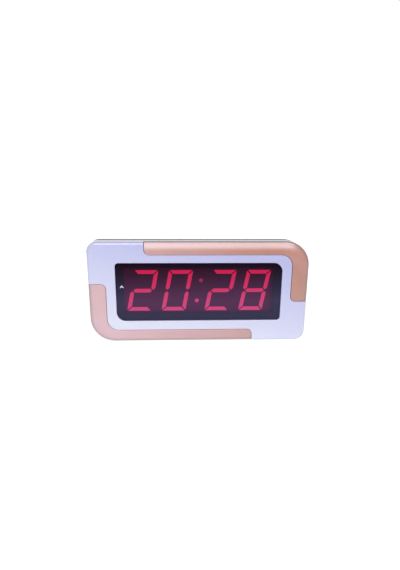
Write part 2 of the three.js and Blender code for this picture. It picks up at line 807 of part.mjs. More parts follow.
// Screws, driven from the rear: the seat is where the head rests

function screw(seat, tip, place) {
  const rear = seat + CLEARANCE + SCREW_HEAD_HEIGHT;
  const profile = [
    [0, tip],
    [SCREW_SHANK / 2, tip],
    [SCREW_SHANK, tip + SCREW_SHANK],
    [SCREW_SHANK, seat + CLEARANCE],
    [SCREW_HEAD, seat + CLEARANCE],
    [SCREW_HEAD, rear - SCREW_HEAD_HEIGHT / 2],
    [SCREW_HEAD / 2, rear],
    [0, rear],
  ];
  return turned(profile, place, PLAIN_SIDES);
}

const caseScrewSeat = tubeStart + SCREW_FLOOR;
caseScrewPlaces.forEach((place, i) =>
  piece(`case_screw_${i + 1}`, screw(caseScrewSeat, caseBossEnd - CASE_SCREW_GRIP, place), steel),
);
bracketScrewPlaces.forEach((place, i) =>
  piece(
    `bracket_screw_${i + 1}`,
    screw(reflectorRear, bracketBossEnd - BRACKET_SCREW_GRIP, place),
    steel,
    display,
  ),
);

// Sloping deck: x across, y down the slope to the rear, z out of the deck

const deckAngle = Math.atan2(TOP_DROP, deckEnd - deckStart);
const deckMatrix = new THREE.Matrix4()
  .makeRotationX(-deckAngle)
  .setPosition(0, (deckStart + deckEnd) / 2, halfHeight - TOP_DROP / 2);
deck.applyMatrix4(deckMatrix);
const onDeck = (geometry) => solidOf(geometry.applyMatrix4(deckMatrix));

const firstKeyX = SNOOZE_LENGTH / 2 + KEY_SPACE + KEY_LENGTH / 2;
const lastKeyX = firstKeyX + KEY_LENGTH + KEY_SPACE;
const keys = [
  { name: "time", kind: "button", x: -lastKeyX, length: KEY_LENGTH },
  { name: "alarm", kind: "button", x: -firstKeyX, length: KEY_LENGTH },
  { name: "snooze", kind: "bar", x: 0, length: SNOOZE_LENGTH },
  { name: "hour", kind: "button", x: firstKeyX, length: KEY_LENGTH },
  { name: "minute", kind: "button", x: lastKeyX, length: KEY_LENGTH },
];
const outerPostX = lastKeyX + (KEY_LENGTH + KEY_SPACE) / 2;
const innerPostX = (SNOOZE_LENGTH + KEY_SPACE) / 2;
const postPlaces = [-outerPostX, -innerPostX, innerPostX, outerPostX];

const flangeTop = -COVER_WALL - CLEARANCE;
const flangeBottom = flangeTop - KEY_FLANGE_THICKNESS;
const stemEnd = flangeBottom - KEY_STEM_LENGTH;
const plungerTop = stemEnd - CLEARANCE;
const plungerBottom = plungerTop - PLUNGER_LENGTH;
const switchTop = plungerTop - PLUNGER_SHOW;
const switchPocket = plungerBottom - KEY_TRAVEL - CLEARANCE;
const switchBottom = switchPocket - SWITCH_FLOOR;
const keyBoardTop = switchBottom - CLEARANCE;
const keyBoardBottom = keyBoardTop - BOARD_THICKNESS;

const keyOutline = (key, grow) =>
  evenRect(key.length + 2 * grow, KEY_WIDTH + 2 * grow, KEY_CORNER + grow, key.x);

function keyCap(key) {
  const shape = new THREE.Shape(keyOutline(key, 0));
  const body = new THREE.ExtrudeGeometry(shape, {
    depth: KEY_PROUD - flangeBottom - 2 * KEY_BEVEL,
    bevelThickness: KEY_BEVEL,
    bevelSize: KEY_BEVEL,
    bevelOffset: -KEY_BEVEL,
    bevelSegments: SMALL_STEPS,
  });
  return join(
    solidOf(body.translate(0, 0, flangeBottom + KEY_BEVEL)),
    solidOf(plate(keyOutline(key, KEY_FLANGE), flangeBottom, flangeTop)),
    solidOf(pillar(KEY_STEM_RADIUS, stemEnd, flangeTop, key.x)),
  );
}

function keySwitch(key) {
  const body = block(around(key.x, SWITCH_SIZE), around(0, SWITCH_SIZE), [switchBottom, switchTop]);
  return cut(body, solidOf(pillar(PLUNGER_RADIUS + CLEARANCE, switchPocket, switchTop + overcut, key.x)));
}

function keyBoard() {
  const end = outerPostX + KEY_SPACE / 2;
  const blank = block([-end, end], around(0, KEY_BOARD_WIDTH), [keyBoardBottom, keyBoardTop]);
  const hole = (x) =>
    solidOf(pillar(POST_PEG_RADIUS + CLEARANCE, keyBoardBottom - overcut, keyBoardTop + overcut, x));
  return cut(blank, postPlaces.map(hole));
}

keys.forEach((key) => {
  piece(`${key.name}_${key.kind}`, keyCap(key), keyGrey, deck);
  piece(`${key.name}_switch`, keySwitch(key), black, deck);
  const plunger = solidOf(pillar(PLUNGER_RADIUS, plungerBottom, plungerTop, key.x));
  piece(`${key.name}_plunger`, plunger, black, deck);
});
piece("key_board", keyBoard(), board, deck);

// Battery bay: two cells side by side in series, their contacts and the door

const cellLevels = [bayZ - CELL_PITCH / 2, bayZ + CELL_PITCH / 2];
const plateX = bayLength / 2 - CLEARANCE - CONTACT_THICKNESS / 2;
const leafTip = plateX - CONTACT_THICKNESS / 2 - LEAF_REACH;

// A cell lies along x with its nub towards the given side
function cell(level, nubSide) {
  const tail = -leafTip + CLEARANCE;
  const shoulder = tail + CELL_LENGTH - CELL_NUB_LENGTH;
  const profile = [
    [0, tail],
    [CELL_RADIUS, tail],
    [CELL_RADIUS, shoulder],
    [CELL_NUB_RADIUS, shoulder],
    [CELL_NUB_RADIUS, tail + CELL_LENGTH],
    [0, tail + CELL_LENGTH],
  ];
  const points = profile.map(([radius, along]) => new THREE.Vector2(radius, along));
  const geometry = new THREE.LatheGeometry(points, FINE_SIDES);
  return solidOf(geometry.rotateZ((-nubSide * Math.PI) / 2).translate(0, cellDepth, level));
}

// Bowed strip that stands off the contact plate towards the cell
function leaf(side, level) {
  const arch = (reach, half) =>
    Array.from({ length: CORNER_STEPS + 1 }, (_, i) => {
      const angle = Math.PI * (i / CORNER_STEPS);
      const x = plateX - reach * Math.sin(angle);
      return new THREE.Vector2(side * x, cellDepth + half * Math.cos(angle));
    });
  const outer = arch(LEAF_REACH + CONTACT_THICKNESS / 2, LEAF_SPAN / 2);
  const inner = arch(LEAF_REACH - CONTACT_THICKNESS / 2, LEAF_SPAN / 2 - CONTACT_THICKNESS).reverse();
  return solidOf(plate([...outer, ...inner], ...around(level, LEAF_WIDTH)));
}

const contactPlate = (side, levels) =>
  block(
    around(side * plateX, CONTACT_THICKNESS),
    around(cellDepth, CONTACT_WIDTH),
    [levels[0] - CONTACT_WIDTH / 2, levels.at(-1) + CONTACT_WIDTH / 2],
  );
const tabEnd = bayFloor - BAY_WALL - TAB_REACH;
const solderTab = (level, grow) =>
  block(
    around(-plateX, CONTACT_THICKNESS + 2 * grow),
    [tabEnd - grow, cellDepth],
    around(level, TAB_WIDTH + 2 * grow),
  );

piece("backup_cell_1", cell(cellLevels[0], 1), jacket);
piece("backup_cell_2", cell(cellLevels[1], -1), jacket);
const negativePlate = contactPlate(-1, [cellLevels[0]]);
const positivePlate = contactPlate(-1, [cellLevels[1]]);
const negativeLeaf = leaf(-1, cellLevels[0]);
piece("negative_contact", join(negativePlate, negativeLeaf, solderTab(cellLevels[0], 0)), steel);
piece("positive_contact", join(positivePlate, solderTab(cellLevels[1], 0)), steel);
piece("bridge_contact", join(contactPlate(1, cellLevels), leaf(1, cellLevels[1])), steel);

const hookRear = doorInner - 2 * CLEARANCE;
const hookFront = hookRear - HOOK_THICKNESS;
const hookPlaces = [-HOOK_SPACING / 2, HOOK_SPACING / 2];

function batteryDoor() {
  const hook = (x) => {
    const width = around(x, HOOK_WIDTH);
    const heel = bayBottom + CLEARANCE;
    return join(
      block(width, [hookFront, doorInner + CLEARANCE], [heel, heel + HOOK_THICKNESS]),
      block(width, [hookFront, hookRear], [bayBottom - HOOK_REACH, heel + HOOK_THICKNESS]),
    );
  };
  const grooves = Array.from({ length: GROOVE_COUNT }, (_, i) => {
    const level = bayZ + doorHeight / 2 - (i + 1.5) * GROOVE_PITCH;
    return block(
      around(0, GROOVE_LENGTH),
      [DEPTH - GROOVE_DEPTH, DEPTH + overcut],
      around(level, GROOVE_WIDTH),
    );
  });
  const panel = slab(evenRect(doorWidth, doorHeight, DOOR_CORNER, 0, bayZ), doorInner, DEPTH);
  return join(cut(panel, grooves), hookPlaces.map(hook));
}

piece("battery_door", batteryDoor(), charcoal);

// Speaker

const speakerPlace = [speakerX, SPEAKER_Z];
const speakerRear = rearWallInner - CLEARANCE;
const basketFront = speakerRear - SPEAKER_DEPTH;
const magnetFront = basketFront - MAGNET_DEPTH;
const basketFloor = basketFront + SPEAKER_FLOOR;

const basketProfile = [
  [0, magnetFront],
  [MAGNET_RADIUS, magnetFront],
  [MAGNET_RADIUS, basketFront],
  [MAGNET_RADIUS + SPEAKER_RIM, basketFront],
  [SPEAKER_RADIUS, speakerRear - SPEAKER_RIM],
  [SPEAKER_RADIUS, speakerRear],
  [SPEAKER_RADIUS - SPEAKER_RIM, speakerRear],
  [SPEAKER_RADIUS - SPEAKER_RIM, speakerRear - SPEAKER_RIM],
  [MAGNET_RADIUS, basketFloor],
  [0, basketFloor],
];
const coneRim = SPEAKER_RADIUS - SPEAKER_RIM - CLEARANCE;
const coneBase = basketFloor + 2 * CLEARANCE;
const coneProfile = [
  [0, coneBase],
  [CONE_DOME, coneBase],
  [coneRim, speakerRear - CLEARANCE - CONE_THICKNESS],
  [coneRim, speakerRear - CLEARANCE],
  [CONE_DOME, coneBase + CONE_THICKNESS + CLEARANCE],
  [0, coneBase + 2 * CONE_THICKNESS],
];

piece("speaker_basket", turned(basketProfile, speakerPlace), steel);
piece("speaker_cone", turned(coneProfile, speakerPlace), paper);

// Power socket with its nut

const jackPlace = [jackX, jackZ];
const jackMouth = DEPTH + CLEARANCE + JACK_FLANGE;
const jackFront = jackMouth - JACK_LENGTH;
const jackFloor = jackFront + JACK_FLOOR;

const jackProfile = [
  [0, jackFront],
  [JACK_BARREL, jackFront],
  [JACK_BARREL, DEPTH + CLEARANCE],
  [JACK_FLANGE_RADIUS, DEPTH + CLEARANCE],
  [JACK_FLANGE_RADIUS, jackMouth - CLEARANCE],
  [JACK_FLANGE_RADIUS - CLEARANCE, jackMouth],
  [JACK_BORE, jackMouth],
  [JACK_BORE, jackFloor],
  [JACK_PIN, jackFloor],
  [JACK_PIN, DEPTH - JACK_FLANGE],
  [0, DEPTH - CLEARANCE],
];
const nutRear = rearWallInner - CLEARANCE;
const nutFront = nutRear - NUT_THICKNESS;

piece("power_socket", turned(jackProfile, jackPlace), black);
piece(
  "socket_nut",
  cut(
    rod(NUT_RADIUS, nutFront, nutRear, jackPlace, NUT_SIDES),
    rod(JACK_BARREL + CLEARANCE, nutFront - overcut, nutRear + overcut, jackPlace, FINE_SIDES),
  ),
  brass,
);

// Alarm slide switch: the knob rests at the left end of its slot

const knobX = sliderX - SLIDER_TRAVEL / 2;
const knobFlangeRear = rearWallInner - CLEARANCE;
const knobFlangeFront = knobFlangeRear - SLIDER_FLANGE_THICKNESS;
const slideSwitchRear = knobFlangeFront - CLEARANCE;
const slideSwitchFront = slideSwitchRear - SLIDE_SWITCH_SIZE[1];

function alarmKnob() {
  const stemFront = knobFlangeFront - SLIDER_STEM_LENGTH;
  return join(
    block(
      around(knobX, SLIDER_LENGTH),
      [knobFlangeFront, DEPTH + SLIDER_PROUD],
      around(SLIDER_Z, SLIDER_WIDTH),
    ),
    block(
      around(knobX, SLIDER_LENGTH + 2 * SLIDER_FLANGE),
      [knobFlangeFront, knobFlangeRear],
      around(SLIDER_Z, SLIDER_WIDTH + SLIDER_FLANGE),
    ),
    block(around(knobX, SLIDER_STEM), [stemFront, knobFlangeRear], around(SLIDER_Z, SLIDER_STEM)),
  );
}

function alarmSwitch() {
  const [length, , width] = SLIDE_SWITCH_SIZE;
  const slotFront = slideSwitchRear - SLIDER_STEM_LENGTH - CLEARANCE;
  return cut(
    block(around(sliderX, length), [slideSwitchFront, slideSwitchRear], around(SLIDER_Z, width)),
    block(
      around(sliderX, SLIDER_STEM + SLIDER_TRAVEL + 2 * CLEARANCE),
      [slotFront, slideSwitchRear + overcut],
      around(SLIDER_Z, SLIDER_STEM + 2 * CLEARANCE),
    ),
  );
}

piece("slide_knob", alarmKnob(), keyGrey);
piece("slide_switch", alarmSwitch(), steel);

// Rear cover

function coverOutline(share, inset) {
  const side = halfWidth - share * SIDE_TAPER - inset;
  const top = halfHeight - share * TOP_DROP - inset;
  const big = THREE.MathUtils.lerp(BIG_CORNER, REAR_BIG_CORNER, share) - inset;
  const small = THREE.MathUtils.lerp(SMALL_CORNER, REAR_SMALL_CORNER, share) - inset;
  return roundedRect(-side, side, inset - halfHeight, top, leafRadii(big, small));
}

function coverSkin() {
  const rounding = Array.from({ length: EDGE_STEPS + 1 }, (_, i) => {
    const angle = (Math.PI / 2) * (i / EDGE_STEPS);
    return {
      depth: deckEnd + REAR_ROUND * Math.sin(angle),
      outline: coverOutline(1, REAR_ROUND * (1 - Math.cos(angle))),
    };
  });
  return loft([
    { depth: coverFront, outline: coverOutline(0, 0) },
    { depth: deckStart, outline: coverOutline(0, 0) },
    ...rounding,
  ]);
}

function coverRoom() {
  const share = (rearWallInner - deckStart) / (deckEnd - deckStart);
  return loft([
    { depth: coverFront - overcut, outline: coverOutline(0, COVER_WALL) },
    { depth: deckStart, outline: coverOutline(0, COVER_WALL) },
    { depth: rearWallInner, outline: coverOutline(share, COVER_WALL) },
  ]);
}

// Tongue that runs inside the front shell's rim, on a root that reaches into the cover's wall
function coverLip() {
  const outer = SHELL_WALL + CLEARANCE;
  const start = Math.max(SHELL_DEPTH - LIP_LENGTH, NOTCH_DEPTH + SHELL_WALL + CLEARANCE);
  const end = coverFront + TOP_FLAT / 2;
  const root = slab(faceOutline(COVER_WALL / 2), coverFront, end);
  return cut(
    join(slab(faceOutline(outer), start, end), root),
    slab(faceOutline(outer + LIP_WALL), start - overcut, end + overcut),
  );
}

function coverInsides() {
  const tubes = caseScrewPlaces.map((place) =>
    rod(SCREW_HEAD + CLEARANCE + BOSS_WALL, tubeStart, DEPTH - REAR_ROUND / 2, place, FINE_SIDES),
  );
  const bay = block(
    around(0, bayLength + 2 * BAY_WALL),
    [bayFloor - BAY_WALL, DEPTH - COVER_WALL / 2],
    around(bayZ, bayHeight + 2 * BAY_WALL),
  );
  const posts = postPlaces.flatMap((x) => [
    onDeck(pillar(POST_RADIUS, keyBoardTop + CLEARANCE, -COVER_WALL / 2, x)),
    onDeck(pillar(POST_PEG_RADIUS, keyBoardBottom - POST_PEG_REACH, -COVER_WALL / 2, x)),
  ]);
  const ringFront = rearWallInner - SPEAKER_RING_DEPTH;
  const ringBore = SPEAKER_RADIUS + CLEARANCE;
  const ring = cut(
    rod(ringBore + SPEAKER_RING_WALL, ringFront, DEPTH - COVER_WALL / 2, speakerPlace, FINE_SIDES),
    rod(ringBore, ringFront - overcut, rearWallInner, speakerPlace, FINE_SIDES),
  );
  const railMiddle = SLIDE_SWITCH_SIZE[0] / 2 + CLEARANCE + RAIL_WALL / 2;
  const rails = [-railMiddle, railMiddle].map((offset) =>
    block(
      around(sliderX + offset, RAIL_WALL),
      [slideSwitchFront, DEPTH - COVER_WALL / 2],
      around(SLIDER_Z, SLIDE_SWITCH_SIZE[2]),
    ),
  );
  return [tubes, bay, posts, ring, rails].flat();
}

function screwBores() {
  return caseScrewPlaces.flatMap((place) => [
    rod(SCREW_HEAD + CLEARANCE, caseScrewSeat, DEPTH + overcut, place, FINE_SIDES),
    rod(SCREW_SHANK + CLEARANCE, tubeStart - overcut, caseScrewSeat + overcut, place),
  ]);
}

function bayCuts() {
  const recess = evenRect(doorWidth + 2 * CLEARANCE, doorHeight + 2 * CLEARANCE, DOOR_CORNER, 0, bayZ);
  const hookSlot = (x) =>
    block(
      around(x, HOOK_WIDTH + 2 * CLEARANCE),
      [hookFront - 2 * CLEARANCE, hookRear + CLEARANCE],
      [bayBottom - HOOK_REACH - 2 * CLEARANCE, bayBottom + CLEARANCE],
    );
  return [
    block(around(0, bayLength), [bayFloor, DEPTH + overcut], around(bayZ, bayHeight)),
    slab(recess, doorInner - CLEARANCE, DEPTH + overcut),
    rod(SCOOP_RADIUS, DEPTH - SCOOP_DEPTH, DEPTH + overcut, [0, bayZ + doorHeight / 2], FINE_SIDES),
    ...hookPlaces.map(hookSlot),
    ...cellLevels.map((level) => solderTab(level, CLEARANCE)),
  ];
}

// Round holes on rings about a middle one, the same number more on each ring
function grilleHoles() {
  return Array.from({ length: GRILLE_RINGS + 1 }, (_, ring) => {
    const count = Math.max(GRILLE_RING_STEP * ring, 1);
    return Array.from({ length: count }, (_, i) => {
      const angle = (2 * Math.PI * i) / count;
      const x = speakerX + ring * GRILLE_PITCH * Math.cos(angle);
      const z = SPEAKER_Z + ring * GRILLE_PITCH * Math.sin(angle);
      return rod(GRILLE_HOLE, rearWallInner - overcut, DEPTH + overcut, [x, z], HOLE_SIDES);
    });
  }).flat();
}

function wallCuts() {
  const inner = rearWallInner - overcut;
  const outer = DEPTH + overcut;
  const vents = Array.from({ length: VENT_COUNT }, (_, i) => {
    const x = (i - (VENT_COUNT - 1) / 2) * VENT_PITCH;
    return block(around(x, VENT_WIDTH), [inner, outer], around(VENT_Z, VENT_HEIGHT));
  });
  const knobSlot = block(
    around(sliderX, SLIDER_LENGTH + SLIDER_TRAVEL + 2 * CLEARANCE),
    [inner, outer],
    around(SLIDER_Z, SLIDER_WIDTH + 2 * CLEARANCE),
  );
  return [...vents, knobSlot, rod(JACK_BARREL + CLEARANCE, inner, outer, jackPlace, FINE_SIDES)];
}

function rearCover() {
  const skin = coverSkin();
  const insides = coverInsides().map((solid) => solid.intersect(skin));
  const keyHoles = keys.map((key) =>
    onDeck(plate(keyOutline(key, CLEARANCE), flangeTop - overcut, KEY_PROUD + overcut)),
  );
  return cut(
    join(cut(skin, coverRoom()), coverLip(), insides),
    screwBores(),
    bayCuts(),
    grilleHoles(),
    wallCuts(),
    keyHoles,
    footRecesses(footDepths[1]),
  );
}

piece("rear_cover", rearCover(), charcoal);

// Rubber feet, level with each other on the table

footDepths.forEach((depth, row) =>
  [-footX, footX].forEach((x, side) => {
    const top = FOOT_RECESS - CLEARANCE - halfHeight;
    const foot = plate(footOutline(x, depth, 0), -halfHeight - FOOT_HEIGHT, top);
    const name = `${row ? "rear" : "front"}_foot_${side ? "right" : "left"}`;
    piece(name, solidOf(foot), rubber);
  }),
);

// Leads from the rear cover's pieces to the display board

const forward = new THREE.Vector3(0, -1, 0);
const rearward = new THREE.Vector3(0, 1, 0);
const leadSection = Array.from({ length: PLAIN_SIDES }, (_, i) => {
  const angle = (2 * Math.PI * i) / PLAIN_SIDES;
  return new THREE.Vector2(LEAD_RADIUS * Math.cos(angle), LEAD_RADIUS * Math.sin(angle));
});
const boardPoint = ([x, z]) => new THREE.Vector3(x, boardRear + CLEARANCE, z + windowRise);

function lead(name, start, end) {
  const from = new THREE.Vector3(start[0], start[1] - CLEARANCE, start[2]);
  piece(name, swept(leadSection, from, forward, boardPoint(end), rearward), wire);
}

lead("speaker_lead", [speakerX, magnetFront, SPEAKER_Z], SPEAKER_LEAD_END);
lead("battery_lead", [-plateX, tabEnd, cellLevels[0]], BATTERY_LEAD_END);
lead("power_lead", [jackX, jackFront, jackZ], POWER_LEAD_END);

const ribbonSection = evenRect(RIBBON_WIDTH, RIBBON_THICKNESS, RIBBON_THICKNESS / 3);
const ribbonTop = keyBoardBottom - CLEARANCE;
const ribbonStart = new THREE.Vector3(RIBBON_PLACE[0], 0, ribbonTop).applyMatrix4(deckMatrix);
const underDeck = new THREE.Vector3(0, 0, -1).transformDirection(deckMatrix);
const ribbonEnd = boardPoint(RIBBON_PLACE);
piece("ribbon_cable", swept(ribbonSection, ribbonStart, underDeck, ribbonEnd, rearward), wire);

// Stand the clock on its feet, centred over the origin

const box = new THREE.Box3().setFromObject(clock, true);
clock.position.set(0, -(box.min.y + box.max.y) / 2, -box.min.z);

export default clock;
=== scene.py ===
import math

import bmesh
import bpy
from mathutils import Matrix, Vector


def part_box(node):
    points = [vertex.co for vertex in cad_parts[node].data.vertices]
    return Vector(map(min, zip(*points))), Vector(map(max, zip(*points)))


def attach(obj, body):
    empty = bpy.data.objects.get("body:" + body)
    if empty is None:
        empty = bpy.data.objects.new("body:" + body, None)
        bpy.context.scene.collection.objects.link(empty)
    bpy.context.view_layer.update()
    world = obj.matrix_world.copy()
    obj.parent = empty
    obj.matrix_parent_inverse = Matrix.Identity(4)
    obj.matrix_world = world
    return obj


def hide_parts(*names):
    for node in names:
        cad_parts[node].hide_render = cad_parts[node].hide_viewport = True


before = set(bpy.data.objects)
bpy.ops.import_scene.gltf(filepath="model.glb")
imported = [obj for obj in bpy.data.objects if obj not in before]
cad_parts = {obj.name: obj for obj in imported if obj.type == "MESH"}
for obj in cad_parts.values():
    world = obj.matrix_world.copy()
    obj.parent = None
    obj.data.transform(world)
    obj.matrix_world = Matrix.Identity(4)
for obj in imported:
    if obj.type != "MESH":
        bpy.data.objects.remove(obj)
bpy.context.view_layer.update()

# Shapes are worked out in millimetres about the middle of the clock's face:
# x to the right, d into the depth from the silver front plane, z up.

MM = 0.001
shell_low, shell_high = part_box("front_shell")
FACE = Vector((0, shell_low.y, (shell_low.z + shell_high.z) / 2))
TO_FRAME = Matrix.Translation(FACE) @ Matrix.Scale(MM, 4)

# Case
WIDTH, HEIGHT, DEPTH = 200, 93.6, 45
HALF_WIDTH, HALF_HEIGHT = WIDTH / 2, HEIGHT / 2
BIG_CORNER, SMALL_CORNER, LEAST_CORNER = 22, 9, 0.4
SHELL_DEPTH, SHELL_WALL, FRONT_WALL = 13.5, 2.2, 3.2
EDGE_INSET, EDGE_DEPTH = 3, 2.4
COVER_WALL = 2.6
LIP_LENGTH, LIP_WALL = 3, 1.5
TOP_FLAT, SIDE_TAPER, TOP_DROP = 5, 5.5, 10.5
REAR_BIG_CORNER, REAR_SMALL_CORNER, REAR_ROUND = 16, 8, 2.5
GAP, OVERCUT, HAIR = 0.3, 1, 0.01
COVER_FRONT = SHELL_DEPTH + GAP
DECK_START, DECK_END = COVER_FRONT + TOP_FLAT, DEPTH - REAR_ROUND
REAR_INNER = DEPTH - COVER_WALL
HOLE_START, HOLE_LIP = REAR_INNER - OVERCUT, 0.5

# Trims
TRIM_BAND, TRIM_COLUMN = 11.3, 15.5
TRIM_START, TRIM_OVERRUN = 50.6, 8.5
TRIM_INNER_CORNER, TRIM_END_CORNER = 10.5, 4.7
TRIM_PROUD, TRIM_EDGE = 0.4, 0.4
TRIM_CROWN_INSET, TRIM_CROWN_DEPTH, TRIM_RIM = 12, 4.4, 1.0
TRIM_TIP_PITCH = 0.55
NOTCH_DEPTH, SEAM_GAP, SEAM_LIP = 5.5, 0.25, 0.4

# Window and display
WINDOW_WIDTH, WINDOW_HEIGHT, WINDOW_RISE = 151, 54.6, 0.7
WINDOW_BIG_CORNER, WINDOW_SMALL_CORNER, WINDOW_EDGE = 8.2, 3.2, 0.5
LENS_LEDGE, LENS_MARGIN = 1.4, 2.2
DISPLAY_DEPTH, REFLECTOR_REAR, BRACKET_FRONT = 6.5, 14.5, 4
DIGIT_WIDTH, DIGIT_HEIGHT, DIGIT_SLANT = 22.3, 38.9, math.radians(10.9)
DIGIT_PITCH, COLON_GAP = 31.75, 8.4
STROKE, SEGMENT_GAP, SEGMENT_CHAMFER = 3.6, 1.0, 1.3
SEGMENT_SINK, SEGMENT_SOFT = 0.1, 0.3
SEGMENT_FRONT = DISPLAY_DEPTH + SEGMENT_SINK
DOT_RADIUS, DOT_RISE, DOT_SOFT = 1.85, 9.7, 0.5
DOT_ANGLES = (0.26, 0.52, 0.79, 1.05, math.pi / 2)
WEB_THICK, WEB_MARGIN, WEB_CORNER = 1, 1, 0.5
WEB_FRONT = REFLECTOR_REAR - WEB_THICK
WEB_MIDDLE = WEB_FRONT + WEB_THICK / 2
SHINE_TILT = 0.2
MARK_X, MARK_Z, MARK_WIDTH, MARK_HEIGHT, MARK_RISE = -70.5, 4.5, 3.9, 2.6, 0.12

# Case screws
SCREW_X, SCREW_TOP, SCREW_BOTTOM = 86, 23.3, -31.3
SCREWS = [(x, z) for z in (SCREW_TOP, SCREW_BOTTOM) for x in (-SCREW_X, SCREW_X)]
SCREW_HEAD, SCREW_SHANK, SCREW_REACH = 2.8, 1.3, 6
HEAD_HEIGHT, SCREW_RIM = 2.2, 0.9
DOME_ANGLES = (0, 0.3, 0.6, 0.9, 1.2, 1.45)
CROSS_LENGTH, CROSS_WIDTH, CROSS_DEPTH = 3.4, 0.8, 1.3
TUBE_INSET, TUBE_FLOOR, TUBE_WALL = 1.7, 3, 2
TUBE_START = COVER_FRONT + TUBE_INSET
SCREW_SEAT = TUBE_START + TUBE_FLOOR

# Backup cells, their bay and its door
CELL_RADIUS, CELL_LENGTH, CELL_PITCH, CELL_SOFT = 5.25, 44.5, 11.5, 0.6
CELL_BASE, CELL_GROOVE, CELL_GROOVE_DEPTH, SLEEVE_START = 3.4, 3.6, 0.25, 0.2
CELL_SEAL, SEAL_DROP = 2.6, 0.05
NUB_RADIUS, NUB_LENGTH, NUB_EDGE = 1.9, 0.8, 0.2
JACKET_START, JACKET_END = 0.3, 0.1
LEAF_REACH, CONTACT_THICK = 2.5, 0.5
BAY_LENGTH = CELL_LENGTH + LEAF_REACH + 2 * CONTACT_THICK + 4 * GAP
BAY_HEIGHT = CELL_PITCH + 2 * CELL_RADIUS + 2 * GAP
BAY_Z, BAY_WALL = -24.8, 1.5
BAY_BOTTOM = BAY_Z - BAY_HEIGHT / 2
LEAF_TIP = BAY_LENGTH / 2 - GAP - CONTACT_THICK - LEAF_REACH
DOOR_THICK, DOOR_LEDGE, DOOR_CORNER, DOOR_SOFT = 2, 1, 2, 0.5
DOOR_WIDTH, DOOR_HEIGHT = BAY_LENGTH + 2 * DOOR_LEDGE, BAY_HEIGHT + 2 * DOOR_LEDGE
DOOR_INNER = DEPTH - DOOR_THICK
CELL_DEPTH = DOOR_INNER - 2 * GAP - CELL_RADIUS
BAY_FLOOR = CELL_DEPTH - CELL_RADIUS - GAP
HOOK_SPACING, HOOK_WIDTH, HOOK_THICK, HOOK_REACH = 32, 6, 1.2, 1.6
HOOK_PLACES = (-HOOK_SPACING / 2, HOOK_SPACING / 2)
HOOK_REAR = DOOR_INNER - 2 * GAP
HOOK_FRONT = HOOK_REAR - HOOK_THICK
GROOVES, GROOVE_PITCH, GROOVE_LENGTH, GROOVE_WIDTH = 3, 2.6, 16, 1.2
GROOVE_CORNER, GROOVE_DEPTH, GROOVE_LIP = 0.55, 0.6, 0.25
SCOOP_RADIUS, SCOOP_DEPTH, SCOOP_LIFT = 7.6, 1.2, 0.4

# Speaker grille and vents
SPEAKER, SPEAKER_RADIUS = (54, -3), 18
RING_WALL, RING_HEIGHT = 1.4, 4
GRILLE_RINGS, GRILLE_PITCH, GRILLE_HOLE, GRILLE_LIP = 3, 5.4, 1.5, 0.35
VENTS, VENT_PITCH, VENT_Z = 9, 6.4, 12
VENT_WIDTH, VENT_HEIGHT, VENT_CORNER = 2.4, 16, 1.19

# Power socket and alarm slide
JACK = (-60, -27.3)
JACK_BARREL, JACK_BORE, JACK_PIN, JACK_SOFT = 4, 2.9, 1, 0.4
JACK_LENGTH, JACK_FLOOR, JACK_FLANGE, JACK_FLANGE_RADIUS = 13, 3.5, 1.3, 5.6
PIN_SINK, PIN_TIP = 0.6, 1
SLIDER_X, SLIDER_Z, SLIDER_TRAVEL = -60, 4, 4
SLIDER_LENGTH, SLIDER_WIDTH, SLIDER_PROUD = 5, 4, 1.6
SLIDER_CORNER, SLIDER_SOFT = 0.45, 0.35
SLIDER_FLANGE, SLIDER_FLANGE_THICK = 3, 1.2
SLIDER_STEM, SLIDER_STEM_LENGTH = 2.4, 1.6
SLOT_CORNER, SLOT_LIP = 0.4, 0.4
GRIP_PITCH, GRIP_WIDTH, GRIP_DEPTH = 1.2, 0.45, 0.45

# Keys
KEY_WIDTH, KEY_CORNER, KEY_LEAST_CORNER, KEY_PROUD = 9, 2, 0.3, 1.8
KEY_SOFT, KEY_DISH, KEY_DISH_RUN = 0.9, 0.25, 2.6
KEY_FLANGE, KEY_FLANGE_THICK, KEY_FLANGE_TOP = 1.4, 1.2, -COVER_WALL - GAP
KEY_STEM, KEY_STEM_RADIUS = 1.3, 2
RIB_PITCH, RIB_WIDTH, RIB_LENGTH, RIB_RISE = 2.4, 0.9, 4.6, 0.25
RIB_SOFT, RIB_CORNER, RIB_CREST_CORNER = RIB_WIDTH / 4, 0.405, 0.18
KEYS = {
    "time_button": ("time_key", -63.5, 15),
    "alarm_button": ("alarm_key", -40.5, 15),
    "snooze_bar": ("snooze_key", 0, 50),
    "hour_button": ("hour_key", 40.5, 15),
    "minute_button": ("minute_key", 63.5, 15),
}

# Feet
FOOT_LENGTH, FOOT_WIDTH, FOOT_CORNER = 16, 5, 2.3
FOOT_HEIGHT, FOOT_RECESS, FOOT_SOFT = 1.2, 0.8, 0.45
FOOT_X, FOOT_REAR_INSET = 64, 8
FOOT_SIDES = {"left": -FOOT_X, "right": FOOT_X}
FOOT_ROWS = {"front": (NOTCH_DEPTH + SHELL_DEPTH) / 2, "rear": DEPTH - FOOT_REAR_INSET}

# Facets
CORNER_STEPS, SMALL_STEPS, EDGE_STEPS, BEND_STEPS = 20, 8, 10, 4
WINDOW_EDGE_STEPS, SEGMENT_STEPS, KEY_STEPS = 5, 3, 6
TRIM_BAR_STEPS, TRIM_COLUMN_STEPS, TRIM_TIP_STEPS = 40, 12, 8
TRIM_CROWN_STEPS, TRIM_EDGE_STEPS = 14, 5
ROUND_SIDES, SCREW_SIDES, GRILLE_SIDES = 48, 32, 24
SHARP_ANGLE = math.radians(32)


# Outlines in the face plane, counter-clockwise seen from the front


def around(middle, size):
    return middle - size / 2, middle + size / 2


def between(a, b, share):
    return a + (b - a) * share


